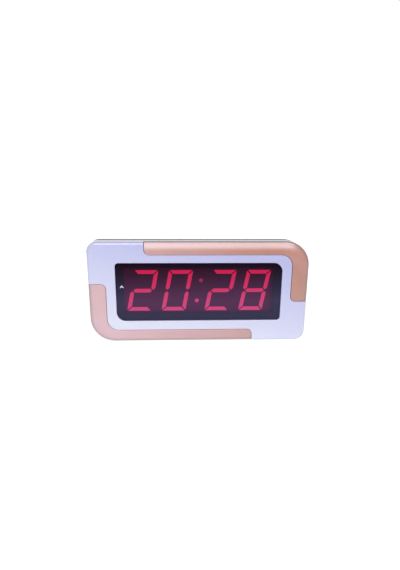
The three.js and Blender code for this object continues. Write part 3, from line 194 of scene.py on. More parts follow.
def quarter(steps):
    """Angles from 0 to a right angle."""
    return [math.pi / 2 * i / steps for i in range(steps + 1)]


def bend(size, steps=BEND_STEPS):
    """A round edge in pairs: the length done across it, from 0, and the rest along it, down to 0."""
    return [(size * (1 - math.cos(a)), size * (1 - math.sin(a))) for a in quarter(steps)]


def rounded_rect(left, right, bottom, top, radii, steps=CORNER_STEPS):
    br, tr, tl, bl = radii
    points = []
    corners = [
        (right - br, bottom + br, br, -90),
        (right - tr, top - tr, tr, 0),
        (left + tl, top - tl, tl, 90),
        (left + bl, bottom + bl, bl, 180),
    ]
    for x, z, radius, start in corners:
        points += arc(x, z, radius, start, start + 90, steps)
    return points


def leaf_radii(big, small):
    """Corners of a leaf: big at the top right and the bottom left."""
    large, little = max(big, LEAST_CORNER), max(small, LEAST_CORNER)
    return little, large, little, large


def leaf_rect(width, height, big, small):
    return rounded_rect(*around(0, width), *around(0, height), leaf_radii(big, small))


def even_rect(width, height, radius, x=0, z=0):
    return rounded_rect(*around(x, width), *around(z, height), (radius,) * 4, SMALL_STEPS)


def circle(radius, x, z, sides=ROUND_SIDES):
    return arc(x, z, radius, 0, 360, sides)[:-1]


def arc(x, z, radius, start, end, steps=CORNER_STEPS):
    angles = [math.radians(start + (end - start) * i / steps) for i in range(steps + 1)]
    return [(x + radius * math.cos(a), z + radius * math.sin(a)) for a in angles]


def growing_rect(width, height, corner, x, z):
    """A rounded rectangle, as a function of how far it grows."""
    def outline(grow):
        return even_rect(width + 2 * grow, height + 2 * grow, corner + grow, x, z)

    return outline


def growing_circle(radius, place, sides=ROUND_SIDES):
    """A circle, as a function of how far it grows."""
    def outline(grow):
        return circle(radius + grow, *place, sides)

    return outline


def face_outline(inset):
    return leaf_rect(WIDTH - 2 * inset, HEIGHT - 2 * inset, BIG_CORNER - inset, SMALL_CORNER - inset)


def window_outline(grow):
    width, height = WINDOW_WIDTH + 2 * grow, WINDOW_HEIGHT + 2 * grow
    return leaf_rect(width, height, WINDOW_BIG_CORNER + grow, WINDOW_SMALL_CORNER + grow)


def half_turn(outline):
    return [(-x, -z) for x, z in outline]


def slanted(outline):
    return [(x + z * math.tan(DIGIT_SLANT), z) for x, z in outline]


def inset_convex(outline, amount):
    """A convex outline with every side moved inwards."""
    points = [Vector(p) for p in outline]
    sides = []
    for a, b in zip(points, points[1:] + points[:1]):
        along = (b - a).normalized()
        inward = Vector((-along.y, along.x))
        sides.append((a + inward * amount, along))
    corners = []
    for (p, u), (q, v) in zip(sides[-1:] + sides[:-1], sides):
        cross = u.x * v.y - u.y * v.x
        reach = ((q.x - p.x) * v.y - (q.y - p.y) * v.x) / cross
        corners.append(tuple(p + u * reach))
    return corners


# Solids, as meshes in millimetres

POINT_MERGE = 1e-4
RAISED = Matrix.Translation((0, 0, WINDOW_RISE))
HALF_TURN = Matrix.Rotation(math.pi, 4, "Y")
# Plan outlines stand up: depth is swapped with height
STAND = Matrix(((1, 0, 0, 0), (0, 0, 1, 0), (0, 1, 0, 0), (0, 0, 0, 1)))


def mesh_of(points, faces):
    mesh = bpy.data.meshes.new("solid")
    mesh.from_pydata(points, [], faces)
    shape = bmesh.new()
    shape.from_mesh(mesh)
    bmesh.ops.remove_doubles(shape, verts=shape.verts, dist=POINT_MERGE)
    bmesh.ops.recalc_face_normals(shape, faces=shape.faces)
    shape.to_mesh(mesh)
    shape.free()
    return mesh


def skin_faces(rings, count):
    """Faces between neighbouring rings of equal point counts."""
    faces = []
    for ring in range(rings - 1):
        for i in range(count):
            a, b = ring * count + i, ring * count + (i + 1) % count
            faces.append((a, a + count, b + count, b))
    return faces


def loft(sections):
    """Skin through (depth, outline) sections of equal point counts, closed at both ends."""
    count = len(sections[0][1])
    points = [(x, depth, z) for depth, outline in sections for x, z in outline]
    last = len(points) - count
    ends = [tuple(range(count)), tuple(range(last + count - 1, last - 1, -1))]
    return mesh_of(points, skin_faces(len(sections), count) + ends)


def slab(outline, start, end):
    return loft([(start, outline), (end, outline)])


def block(xs, ds, zs):
    (left, right), (bottom, top) = xs, zs
    return slab([(left, bottom), (right, bottom), (right, top), (left, top)], *ds)


def rod(radius, start, end, place):
    return slab(circle(radius, *place), start, end)


def turned(profile, place, sides=ROUND_SIDES):
    """(radius, depth) points, from the axis round to the axis, turned about the depth."""
    inner = profile[1:-1]
    x, z = place
    points = [(px, depth, pz) for radius, depth in inner for px, pz in circle(radius, x, z, sides)]
    faces = skin_faces(len(inner), sides)
    for tip, ring in ((profile[0], 0), (profile[-1], len(inner) - 1)):
        points.append((x, tip[1], z))
        for i in range(sides):
            faces.append((ring * sides + i, ring * sides + (i + 1) % sides, len(points) - 1))
    return mesh_of(points, faces)


def moved(mesh, matrix):
    mesh.transform(matrix)
    return mesh


def standing(sections):
    """Skin through (level, plan outline) sections, from the lowest up."""
    mesh = moved(loft(sections), STAND)
    mesh.flip_normals()
    return mesh


def plate(outline, bottom, top):
    return standing([(bottom, outline), (top, outline)])


def placed(mesh):
    thing = bpy.data.objects.new("solid", mesh)
    bpy.context.scene.collection.objects.link(thing)
    return thing


def combine(operation, body, *tools):
    """The body with every tool cut from it, or joined to it."""
    whole = placed(body)
    parts = [placed(tool) for tool in tools]
    for part in parts:
        step = whole.modifiers.new("step", "BOOLEAN")
        step.operation = operation
        step.solver = "MANIFOLD"
        step.object = part
    result = bpy.data.meshes.new_from_object(
        whole.evaluated_get(bpy.context.evaluated_depsgraph_get())
    )
    for thing in [whole, *parts]:
        mesh = thing.data
        bpy.data.objects.remove(thing)
        bpy.data.meshes.remove(mesh)
    return result


def cut(body, *tools):
    return combine("DIFFERENCE", body, *tools)


def join(body, *tools):
    return combine("UNION", body, *tools)


def soft_slab(outline_at, start, end, soft):
    """A slab whose rear edge is rounded."""
    edge = [(end - rest, outline_at(-done)) for done, rest in bend(soft)]
    return loft([(start, outline_at(0)), *edge])


def flared(outline_at, inner, lip=HOLE_LIP):
    """A hole into the rear face whose mouth is rounded outwards."""
    mouth = [(DEPTH - rest, outline_at(done)) for done, rest in bend(lip)]
    return loft([(inner, outline_at(0)), *mouth, (DEPTH + OVERCUT, outline_at(lip))])


def piece(name, mesh, finishes, body, node, matrix=Matrix.Identity(4)):
    """A finished piece in the frame: it rides on a body and may stand for a node."""
    mesh.transform(TO_FRAME @ matrix)
    mesh.name = name
    mesh.shade_smooth()
    mesh.set_sharp_from_angle(angle=SHARP_ANGLE)
    numbers = [face.material_index for face in mesh.polygons]
    mesh.materials.clear()
    for finish in finishes:
        mesh.materials.append(finish.material)
    mesh.polygons.foreach_set("material_index", numbers)
    thing = bpy.data.objects.new(name, mesh)
    bpy.context.scene.collection.objects.link(thing)
    even = thing.modifiers.new("even", "WEIGHTED_NORMAL")
    even.keep_sharp = True
    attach(thing, body)
    if node:
        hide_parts(node)


# Materials: tints are screen colours, noise scales count per metre

NOISE_LOW, NOISE_HIGH = 0.3, 0.7
CLOUD_SCALE, GLOSS_SCALE, GLOSS_SPREAD = 45, 260, 0.05
CLOUD_DETAIL, GRAIN_DETAIL, GRAIN_DEPTH = 3, 2, 0.00005
LACQUER_CLOUD, LACQUER_ROUGH = 0.12, 0.36
LACQUER_GRAIN, LACQUER_BUMP = 5200, 0.05


def srgb(*tint):
    """A screen colour, in levels of 255, as linear light."""
    shares = [level / 255 for level in tint]
    return *[s / 12.92 if s <= 0.04045 else ((s + 0.055) / 1.055) ** 2.4 for s in shares], 1


def fill(node, **constants):
    """Sets inputs of a node by their names."""
    for name, value in constants.items():
        node.inputs[name.replace("_", " ")].default_value = value
    return node


def computed(tree, kind, operation, *inputs):
    """Outputs of a sum node, whose inputs are sockets to link or constants to set."""
    node = tree.nodes.new(f"ShaderNode{kind}")
    node.operation = operation
    for socket, value in zip(node.inputs, inputs):
        if isinstance(value, bpy.types.NodeSocket):
            tree.links.new(value, socket)
        else:
            socket.default_value = value
    return node.outputs


class Finish:
    """A Principled material with its node tree at hand."""

    def __init__(self, name):
        self.material = bpy.data.materials.new(name)
        self.material.use_nodes = True
        self.tree = self.material.node_tree
        self.shader = self.tree.nodes["Principled BSDF"]
        self.place = self.tree.nodes.new("ShaderNodeTexCoord").outputs["Object"]

    def set(self, **values):
        fill(self.shader, **values)
        return self

    def feed(self, socket, value):
        """Links a value to a socket of the shader."""
        self.tree.links.new(value, self.shader.inputs[socket])
        return self

    def noise(self, scale, detail=CLOUD_DETAIL):
        texture = fill(self.tree.nodes.new("ShaderNodeTexNoise"), Scale=scale, Detail=detail)
        self.tree.links.new(self.place, texture.inputs["Vector"])
        return texture.outputs["Fac"]

    def ramp(self, value, stops):
        """The tint for a value, between stops of a place and a tint."""
        ramp = self.tree.nodes.new("ShaderNodeValToRGB")
        while len(ramp.color_ramp.elements) < len(stops):
            ramp.color_ramp.elements.new(0.5)
        for element, (place, tint) in zip(ramp.color_ramp.elements, stops):
            element.position = place
            element.color = srgb(*tint)
        self.tree.links.new(value, ramp.inputs["Fac"])
        return ramp.outputs["Color"]

    def mapped(self, value, start, end, low=0, high=1):
        """The value's range from start to end, brought to low and high."""
        scale = self.tree.nodes.new("ShaderNodeMapRange")
        fill(scale, From_Min=start, From_Max=end, To_Min=low, To_Max=high)
        self.tree.links.new(value, scale.inputs["Value"])
        return scale.outputs["Result"]

    def along(self, start, end):
        """Position on the way between two points: 0 at the start, 1 at the end."""
        way = Vector(end) - Vector(start)
        reach = computed(self.tree, "VectorMath", "DOT_PRODUCT", self.place, way)
        return self.mapped(reach["Value"], way.dot(Vector(start)), way.dot(Vector(end)))

    def clouded(self, way, stops, amount):
        """A tint that shifts along the way, moved a little by a cloud."""
        cloud = self.noise(CLOUD_SCALE)
        shift = computed(self.tree, "Math", "MULTIPLY_ADD", cloud, amount, self.along(*way))
        return self.ramp(shift["Value"], stops)

    def weakened(self, colour, way, least):
        """The colour, falling to a part of itself at the end of the way."""
        part = self.mapped(self.along(*way), 0, 1, 1, least)
        return computed(self.tree, "VectorMath", "MULTIPLY", colour, part)["Vector"]

    def gloss(self, rough):
        """An uneven roughness about the given one."""
        limits = NOISE_LOW, NOISE_HIGH, rough - GLOSS_SPREAD, rough + GLOSS_SPREAD
        return self.feed("Roughness", self.mapped(self.noise(GLOSS_SCALE), *limits))

    def grain(self, scale, strength):
        """A fine relief of the surface."""
        bump = fill(self.tree.nodes.new("ShaderNodeBump"), Strength=strength, Distance=GRAIN_DEPTH)
        self.tree.links.new(self.noise(scale, GRAIN_DETAIL), bump.inputs["Height"])
        return self.feed("Normal", bump.outputs["Normal"])

    def glow(self, strength, way, stops, fades=(), least=1):
        """A glow whose tint shifts along the way and weakens along each fade."""
        colour = self.ramp(self.along(*way), stops)
        for fade in fades:
            colour = self.weakened(colour, fade, least)
        return self.feed("Emission Color", colour).set(Emission_Strength=strength)


def moulded(name, dark, light, rough, grain, bump, metal=0):
    """Plain plastic, rubber or metal: a clouded tint, an uneven gloss and a fine grain."""
    finish = Finish(name).set(Metallic=metal)
    tint = finish.ramp(finish.noise(CLOUD_SCALE), [(NOISE_LOW, dark), (NOISE_HIGH, light)])
    return finish.feed("Base Color", tint).gloss(rough).grain(grain, bump)


def lacquered(name, way, stops, metal, edge, least):
    """Pearl lacquer: a tint that shifts along the clock, with painted light in the shift, and painted shade
    that darkens it behind the edge.
    """
    finish = Finish(name).set(Metallic=metal)
    # Painted shade: the tint falls to a part of itself with depth behind the front plane, over the rounded
    # edge and onto the sides.
    painted_shade_way = [(0, FACE.y + depth * MM, 0) for depth in edge]
    tint = finish.weakened(finish.clouded(way, stops, LACQUER_CLOUD), painted_shade_way, least)
    return finish.feed("Base Color", tint).gloss(LACQUER_ROUGH).grain(LACQUER_GRAIN, LACQUER_BUMP)


# Case and small parts

# Painted light: the silver grows lighter towards the bottom. The edge and least below set its painted shade
# behind the edge.
SILVER_PAINTED_LIGHT_WAY = (0, 0, 0.094), (-0.02, 0, 0.002)
SILVER_PAINTED_LIGHT_TINTS = [(0.1, (187, 190, 232)), (1.0, (235, 238, 255))]
silver = lacquered("silver_lacquer", SILVER_PAINTED_LIGHT_WAY, SILVER_PAINTED_LIGHT_TINTS, metal=0.15, edge=(0.6, 2.2), least=0.68)
silver.set(Coat_Weight=0.9, Coat_Roughness=0.14)
# Partly the lacquer's copper tint, partly painted glare: the trims turn paler and pinker towards the lower
# left. The edge and least below set their painted shade behind the edge.
COPPER_TINT_AND_GLARE_WAY = (0.1, 0, 0.09), (-0.01, 0, -0.057)
COPPER_TINTS_AND_GLARE = [
    (0.11, (184, 114, 95)),
    (0.19, (168, 89, 54)),
    (0.525, (194, 135, 128)),
    (1.0, (230, 186, 192)),
]
copper = lacquered("copper_lacquer", COPPER_TINT_AND_GLARE_WAY, COPPER_TINTS_AND_GLARE, metal=0, edge=(1.2, 3.2), least=0.3)
copper.set(Coat_Weight=1.0, Coat_Roughness=0.28, Coat_IOR=2.1)
charcoal = moulded("charcoal_plastic", (60, 60, 70), (68, 68, 78), rough=0.55, grain=2600, bump=0.35)
key_grey = moulded("key_plastic", (126, 127, 139), (136, 137, 149), rough=0.48, grain=2600, bump=0.2)
black = moulded("black_plastic", (12, 11, 17), (17, 15, 22), rough=0.6, grain=2600, bump=0.25)
rubber = moulded("foot_rubber", (26, 26, 28), (36, 36, 38), rough=0.85, grain=1800, bump=0.4)
board_green = moulded("circuit_board", (24, 78, 46), (32, 96, 56), rough=0.4, grain=900, bump=0.2)
epoxy = moulded("chip_epoxy", (22, 22, 24), (30, 30, 32), rough=0.6, grain=3000, bump=0.3)
paper = moulded("speaker_paper", (30, 30, 33), (44, 44, 47), rough=0.9, grain=1500, bump=0.6)
vinyl = moulded("lead_vinyl", (140, 140, 150), (156, 156, 166), rough=0.5, grain=1500, bump=0.15)
steel = moulded("plated_steel", (186, 188, 192), (205, 206, 210), rough=0.3, grain=3000, bump=0.1, metal=1)
brass = moulded("turned_brass", (196, 160, 88), (212, 176, 104), rough=0.3, grain=3000, bump=0.1, metal=1)
jacket = moulded("cell_jacket", (150, 84, 48), (162, 94, 56), rough=0.32, grain=2000, bump=0.06, metal=0.4)

# Window: the lens glows faintly as a painted reflection, its veil, palest below, and the display shows
# through

WINDOW_VEIL_WAY = (0, 0, 0.021), (0, 0, 0.076)
LENS_PAINTED_VEIL_TINTS = [(0.0, (76, 73, 103)), (0.35, (80, 76, 106)), (0.6, (63, 58, 84)), (0.95, (41, 26, 44))]
lens = Finish("smoked_acrylic").set(Alpha=0.45, IOR=1.45, Specular_IOR_Level=0.0, Base_Color=(0, 0, 0, 1))
lens.glow(0.66, WINDOW_VEIL_WAY, LENS_PAINTED_VEIL_TINTS)
# The backing is painted lighter below, as part of the painted veil, and darker towards the top.
BACKING_VEIL_TINTS = [(0.0, (86, 81, 118)), (0.35, (93, 85, 128)), (0.6, (62, 54, 88)), (0.95, (20, 6, 22))]
backing = Finish("display_backing").set(Specular_IOR_Level=0.15)
backing.feed("Base Color", backing.clouded(WINDOW_VEIL_WAY, BACKING_VEIL_TINTS, 0.04)).gloss(0.7).grain(900, 0.06)

# Display: the reflector's glow is painted light; it is redder below and grows weaker at the right and at the
# bottom

module_low, module_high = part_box("display_reflector")
RIGHT_FADE, LOW_FADE, FADE_LEAST = (5.5, 0.5), (4, 0.6), 0.3
MODULE_GLOW_FADES = [
    [(module_high.x - inset * MM, 0, 0) for inset in RIGHT_FADE],
    [(0, 0, module_low.z + inset * MM) for inset in LOW_FADE],
]
MODULE_PAINTED_GLOW_TINTS = [(0.3, (150, 24, 100)), (0.55, (130, 26, 90)), (0.78, (84, 0, 34))]
LIT_TINTS_WITH_VEIL = [(0.1, (255, 74, 146)), (0.75, (255, 22, 92))]
module = moulded("display_module", (84, 14, 30), (92, 17, 34), rough=0.5, grain=900, bump=0.05)
module.set(Specular_IOR_Level=0.15).glow(0.5, WINDOW_VEIL_WAY, MODULE_PAINTED_GLOW_TINTS, MODULE_GLOW_FADES, FADE_LEAST)
# The unlit segments carry the same painted glow, without the fades.
unlit = moulded("unlit_segment", (88, 15, 32), (96, 18, 36), rough=0.45, grain=900, bump=0.04)
unlit.set(Specular_IOR_Level=0.15).glow(0.5, WINDOW_VEIL_WAY, MODULE_PAINTED_GLOW_TINTS)
# The segments' own red light, turning paler and pinker below as painted veil.
lit = moulded("lit_segment", (200, 24, 60), (214, 30, 70), rough=0.4, grain=900, bump=0.04)
lit.glow(1.75, WINDOW_VEIL_WAY, LIT_TINTS_WITH_VEIL)
dim = moulded("dim_segment", (170, 24, 56), (184, 30, 64), rough=0.4, grain=900, bump=0.04)
dim.set(Emission_Color=srgb(255, 28, 108), Emission_Strength=0.92)
# The printed mark glows as painted light, so that it shows bright through the lens.
glowing_mark_paint = moulded("glowing_mark_paint", (226, 226, 232), (236, 236, 242), rough=0.5, grain=2600, bump=0.1)
glowing_mark_paint.set(Emission_Color=srgb(230, 230, 240), Emission_Strength=2.3)

# Pieces that keep their own solid

KEY_NAMES = ("snooze", "time", "alarm", "hour", "minute")
CARRIED = [
    (lens, ["window_lens"]),
    (backing, ["display_bracket"]),
    (module, ["display_reflector"]),
    (board_green, ["display_board", "key_board"]),
    (epoxy, ["clock_chip", "filter_capacitor"]),
    (steel, ["bracket_screw_1", "bracket_screw_2", "timing_crystal", "speaker_basket", "slide_switch"]),
    (steel, ["negative_contact", "positive_contact", "bridge_contact"]),
    (paper, ["speaker_cone"]),
    (brass, ["socket_nut"]),
    (vinyl, ["speaker_lead", "battery_lead", "power_lead", "ribbon_cable"]),
    (black, [f"{key}_{part}" for key in KEY_NAMES for part in ("switch", "plunger")]),
]
for finish, nodes in CARRIED:
    for node in nodes:
        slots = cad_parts[node].data.materials
        slots.clear()
        slots.append(finish.material)


# Copper trims


def trim_inner(grow=0):
    """The trim's edge on the face, from its free end on the top to its end on the right."""
    left = TRIM_START - HALF_WIDTH - grow
    low = HALF_HEIGHT - TRIM_BAND - grow
    inner = HALF_WIDTH - TRIM_COLUMN - grow
    end = -TRIM_OVERRUN - grow
    tip, fillet = TRIM_END_CORNER + grow, TRIM_INNER_CORNER - grow
    return [
        *arc(left + tip, low + tip, tip, 180, 270, SMALL_STEPS),
        *arc(inner - fillet, low - fillet, fillet, 90, 0),
        *arc(inner + tip, end + tip, tip, 180, 270, SMALL_STEPS),
    ]


def trim_outline(grow):
    """The trim's edge, closed far outside the case."""
    edge = trim_inner(grow)
    return [(edge[0][0], HEIGHT), *edge, (WIDTH, edge[-1][1]), (WIDTH, HEIGHT)]


def trim_outer():
    """Points on the case's edge with their inward directions, from the free end to the column's end."""
    left, end = TRIM_START - HALF_WIDTH, -TRIM_OVERRUN
    top_end, side_start = HALF_WIDTH - BIG_CORNER, HALF_HEIGHT - BIG_CORNER
    corner = BIG_CORNER + TRIM_PROUD
    tips = [rest for done, rest in reversed(bend(TRIM_EDGE, TRIM_EDGE_STEPS))]
    tips += [TRIM_EDGE + TRIM_TIP_PITCH * i for i in range(1, TRIM_TIP_STEPS + 1)]
    xs = [left + tip for tip in tips]
    xs += [between(xs[-1], top_end, i / TRIM_BAR_STEPS) for i in range(1, TRIM_BAR_STEPS + 1)]
    points = [((x, HALF_HEIGHT + TRIM_PROUD), (0, -1)) for x in xs]
    for angle in reversed(quarter(2 * CORNER_STEPS)[1:-1]):
        out_x, out_z = math.cos(angle), math.sin(angle)
        points.append(((top_end + corner * out_x, side_start + corner * out_z), (-out_x, -out_z)))
    zs = [end + tip for tip in reversed(tips)]
    straight = [between(side_start, zs[0], i / TRIM_COLUMN_STEPS) for i in range(TRIM_COLUMN_STEPS)]
    return points + [((HALF_WIDTH + TRIM_PROUD, z), (-1, 0)) for z in straight + zs]


def reach_inwards(place, direction, edge, tiny=1e-9, slack=1e-6):
    """How far it is from a point, straight inwards, to the trim's edge."""
    px, pz = place
    ux, uz = direction
    reaches = []
    for (ax, az), (bx, bz) in zip(edge, edge[1:]):
        sx, sz = bx - ax, bz - az
        cross = ux * sz - uz * sx
        if abs(cross) < tiny:
            continue
        reach = ((ax - px) * sz - (az - pz) * sx) / cross
        share = ((ax - px) * uz - (az - pz) * ux) / cross
        if reach > 0 and -slack <= share <= 1 + slack:
            reaches.append(reach)
    return min(reaches)


def distance_to(edge, x, z):
    distances = []
    for (ax, az), (bx, bz) in zip(edge, edge[1:]):
        sx, sz = bx - ax, bz - az
        length = sx * sx + sz * sz
        share = max(0, min(1, ((x - ax) * sx + (z - az) * sz) / length)) if length else 0
        distances.append(math.hypot(x - ax - share * sx, z - az - share * sz))
    return min(distances)


def crown_depth(inset):
    """The crown falls evenly steeper towards the case's edge, and ends in a small rounding."""
    share = max(0, 1 - inset / TRIM_CROWN_INSET)
    rim = max(0, 1 - inset / TRIM_RIM)
    crown = (TRIM_CROWN_DEPTH - TRIM_RIM) * share * share
    return -TRIM_PROUD + crown + TRIM_RIM * (1 - math.sqrt(1 - rim * rim))


def trim_mesh():
    """Rows of points from the case's edge over the crown to the inner edge, closed at the rear."""
    edge = trim_inner()
    closed = [(edge[0][0], HALF_HEIGHT + TRIM_PROUD), *edge, (HALF_WIDTH + TRIM_PROUD, edge[-1][1])]
    crown = [1 - math.cos(a) for a in quarter(TRIM_CROWN_STEPS)]
    lip = [math.sin(a) for a in quarter(TRIM_EDGE_STEPS)[1:]]
    rear = NOTCH_DEPTH - GAP
    points = []
    for (px, pz), (ux, uz) in trim_outer():
        flat = reach_inwards((px, pz), (ux, uz), closed) - TRIM_EDGE
        points.append((px, rear, pz))
        for inset in [flat * share for share in crown] + [flat + TRIM_EDGE * share for share in lip]:
            x, z = px + ux * inset, pz + uz * inset
            near = max(0, 1 - distance_to(closed, x, z) / TRIM_EDGE)
            drop = TRIM_EDGE * (1 - math.sqrt(1 - near * near))
            points.append((x, crown_depth(inset) + drop, z))
        points.append((x, rear, z))
    width = len(crown) + len(lip) + 2
    ends = [tuple(range(width)), tuple(range(len(points) - width, len(points)))]
    return mesh_of(points, skin_faces(len(points) // width, width) + ends)


for side, turn in (("upper", Matrix.Identity(4)), ("lower", HALF_TURN)):
    piece(f"copper_trim_{side}", trim_mesh(), [copper], "case", f"{side}_trim", turn)


# Silver front shell


def foot_outline(row, side):
    return growing_rect(FOOT_LENGTH, FOOT_WIDTH, FOOT_CORNER, FOOT_SIDES[side], FOOT_ROWS[row])


def foot_recesses(row):
    bottom, top = -HALF_HEIGHT - OVERCUT, -HALF_HEIGHT + FOOT_RECESS
    return [plate(foot_outline(row, side)(GAP), bottom, top) for side in FOOT_SIDES]


def shell_room():
    """The shell's hollow, with a wall left behind both notches."""
    around_notch = trim_outline(GAP + SHELL_WALL)
    wall = NOTCH_DEPTH + SHELL_WALL
    return cut(
        slab(face_outline(SHELL_WALL), FRONT_WALL, SHELL_DEPTH + OVERCUT),
        slab(around_notch, -OVERCUT, wall),
        slab(half_turn(around_notch), -OVERCUT, wall),
    )


def notch_outline(grow):
    return trim_outline(SEAM_GAP + grow)


def opening(outline_at, start, end, lip, steps):
    """Sections of a hole into the face whose mouth is rounded outwards."""
    mouth = [(done, outline_at(rest)) for done, rest in bend(lip, steps)]
    return [(start, outline_at(lip)), *mouth, (end, outline_at(0))]


def shell_mesh():
    front = [
        (EDGE_DEPTH * (1 - math.cos(a)), face_outline(EDGE_INSET * (1 - math.sin(a))))
        for a in quarter(EDGE_STEPS)
    ]
    through = FRONT_WALL + OVERCUT
    notch = opening(notch_outline, -OVERCUT - TRIM_CROWN_DEPTH, NOTCH_DEPTH, SEAM_LIP, BEND_STEPS)
    window = opening(window_outline, -OVERCUT, through, WINDOW_EDGE, WINDOW_EDGE_STEPS)
    lens_seat = slab(window_outline(LENS_MARGIN + GAP), LENS_LEDGE, through)
    return cut(
        loft([*front, (SHELL_DEPTH, face_outline(0))]),
        shell_room(),
        loft(notch),
        loft([(depth, half_turn(outline)) for depth, outline in notch]),
        moved(loft(window), RAISED),
        moved(lens_seat, RAISED),
        *foot_recesses("front"),
    )


piece("silver_front", shell_mesh(), [silver], "case", "front_shell")


# Figures


def mirrored(outline, x, z):
    points = [(x * px, z * pz) for px, pz in outline]
    return points[::-1] if x * z < 0 else points


def both_sides(right):
    return right + [(-x, z) for x, z in reversed(right)]


def segments():
    """Upright outlines of the seven segments by name, mitred where they meet."""
    side, top = DIGIT_WIDTH / 2, DIGIT_HEIGHT / 2
    mitre = SEGMENT_GAP / math.sqrt(2)
    near, far = (SEGMENT_CHAMFER - mitre) / 2, (SEGMENT_CHAMFER + mitre) / 2
    inner, half = side - STROKE, STROKE / 2
    bar = both_sides([(inner - mitre, top - STROKE), (side - far, top - near), (side - SEGMENT_CHAMFER, top)])
    middle = both_sides([(inner - mitre, -half), (side - half - mitre, 0), (inner - mitre, half)])
    post_foot = [(-side, half + mitre), (half - side, mitre), (-inner, half + mitre)]
    post_head = [(-inner, top - STROKE - mitre), (near - side, top - far), (-side, top - SEGMENT_CHAMFER)]
    post = post_foot + post_head
    return {
        "top": bar,
        "bottom": mirrored(bar, 1, -1),
        "right_low": mirrored(post, -1, -1),
        "right_up": mirrored(post, -1, 1),
        "left_low": mirrored(post, 1, -1),
        "left_up": post,
        "middle": middle,
    }


ALL_SEGMENTS = set(segments())
FIGURES = {"0": ALL_SEGMENTS - {"middle"}, "2": ALL_SEGMENTS - {"left_up", "right_low"}, "8": ALL_SEGMENTS}
SHOWN = {"hour_tens": "2", "hour_units": "0", "minute_tens": "2", "minute_units": "8"}


def softened(outline):
    """A segment with its front edge rounded, reaching back to the web."""
    edge = [
        (SEGMENT_FRONT + done, inset_convex(outline, rest))
        for done, rest in bend(SEGMENT_SOFT, SEGMENT_STEPS)
    ]
    return loft([*edge, (WEB_MIDDLE, outline)])


def inside(outline, x, z):
    return all(
        (bx - ax) * (z - az) - (bz - az) * (x - ax) > -HAIR
        for (ax, az), (bx, bz) in zip(outline, outline[1:] + outline[:1])
    )


def figure_mesh(centre, lit_names):
    """Seven segments on a web: material 0 on the fronts of the lit ones, 1 on the rest."""
    def leaning(outline):
        return [(x + centre, z) for x, z in slanted(outline)]

    outlines = {name: leaning(outline) for name, outline in segments().items()}
    web = leaning(even_rect(DIGIT_WIDTH + 2 * WEB_MARGIN, DIGIT_HEIGHT + 2 * WEB_MARGIN, WEB_CORNER))
    mesh = join(slab(web, WEB_FRONT, REFLECTOR_REAR), *map(softened, outlines.values()))
    for face in mesh.polygons:
        x, depth, z = face.center
        shines = depth < WEB_FRONT - HAIR and face.normal.y < -SHINE_TILT
        glowing = shines and any(inside(outlines[name], x, z) for name in lit_names)
        face.material_index = 0 if glowing else 1
    return mesh


for i, (place, shown) in enumerate(SHOWN.items()):
    step = i - (len(SHOWN) - 1) / 2
    centre = step * DIGIT_PITCH + math.copysign(COLON_GAP / 2, step)
    mesh = figure_mesh(centre, FIGURES[shown])
    piece(f"figure_{place}", mesh, [lit, unlit], "case", f"digit_{place}", RAISED)


def dot_mesh(level):
    """A dot of the colon, reaching back to the web."""
    dome = [
        (DOT_RADIUS - DOT_SOFT * (1 - math.sin(a)), SEGMENT_FRONT + DOT_SOFT * (1 - math.cos(a)))
        for a in DOT_ANGLES
    ]
    profile = [(0, SEGMENT_FRONT), *dome, (DOT_RADIUS, WEB_MIDDLE), (0, WEB_MIDDLE)]
    return turned(profile, slanted([(0, level)])[0])


def colon_mesh():
    """Two dots on a web: material 0 on the lower dot, 1 on the web, 2 on the upper dot."""
    reach = DOT_RADIUS + WEB_MARGIN
    web = slanted(even_rect(2 * reach, 2 * (DOT_RISE + reach), WEB_CORNER))
    mesh = join(slab(web, WEB_FRONT, REFLECTOR_REAR), dot_mesh(-DOT_RISE), dot_mesh(DOT_RISE))
    for face in mesh.polygons:
        x, depth, z = face.center
        dot_index = 2 if z > 0 else 0
        face.material_index = dot_index if depth < WEB_FRONT - HAIR else 1
    return mesh


def mark_mesh():
    """A plain peaked mark on the bracket, at the left of the figures."""
    foot, wing = MARK_WIDTH / 2, MARK_WIDTH / 5
    low, dent = -MARK_HEIGHT / 2, -MARK_HEIGHT / 6
    shoulder, peak = MARK_HEIGHT / 3, MARK_HEIGHT / 2
    points = [(-foot, low), (0, dent), (foot, low), (wing, shoulder), (0, peak), (-wing, shoulder)]
    outline = [(MARK_X + x, MARK_Z + z) for x, z in points]
    return slab(outline, BRACKET_FRONT - MARK_RISE, BRACKET_FRONT + MARK_RISE)


piece("figure_colon", colon_mesh(), [lit, unlit, dim], "case", "colon_dots", RAISED)
piece("window_mark", mark_mesh(), [glowing_mark_paint], "case", None, RAISED)


# Rear cover

DECK_ANGLE = math.atan2(TOP_DROP, DECK_END - DECK_START)
DECK_MIDDLE = (0, (DECK_START + DECK_END) / 2, HALF_HEIGHT - TOP_DROP / 2)
DECK = Matrix.Translation(DECK_MIDDLE) @ Matrix.Rotation(-DECK_ANGLE, 4, "X")


def cover_outline(share, inset):
    """The cover's outline on the way from the shell, 0, to the rear, 1."""
    side = HALF_WIDTH - share * SIDE_TAPER - inset
    top = HALF_HEIGHT - share * TOP_DROP - inset
    big = between(BIG_CORNER, REAR_BIG_CORNER, share) - inset
    small = between(SMALL_CORNER, REAR_SMALL_CORNER, share) - inset
    return rounded_rect(-side, side, -HALF_HEIGHT + inset, top, leaf_radii(big, small))


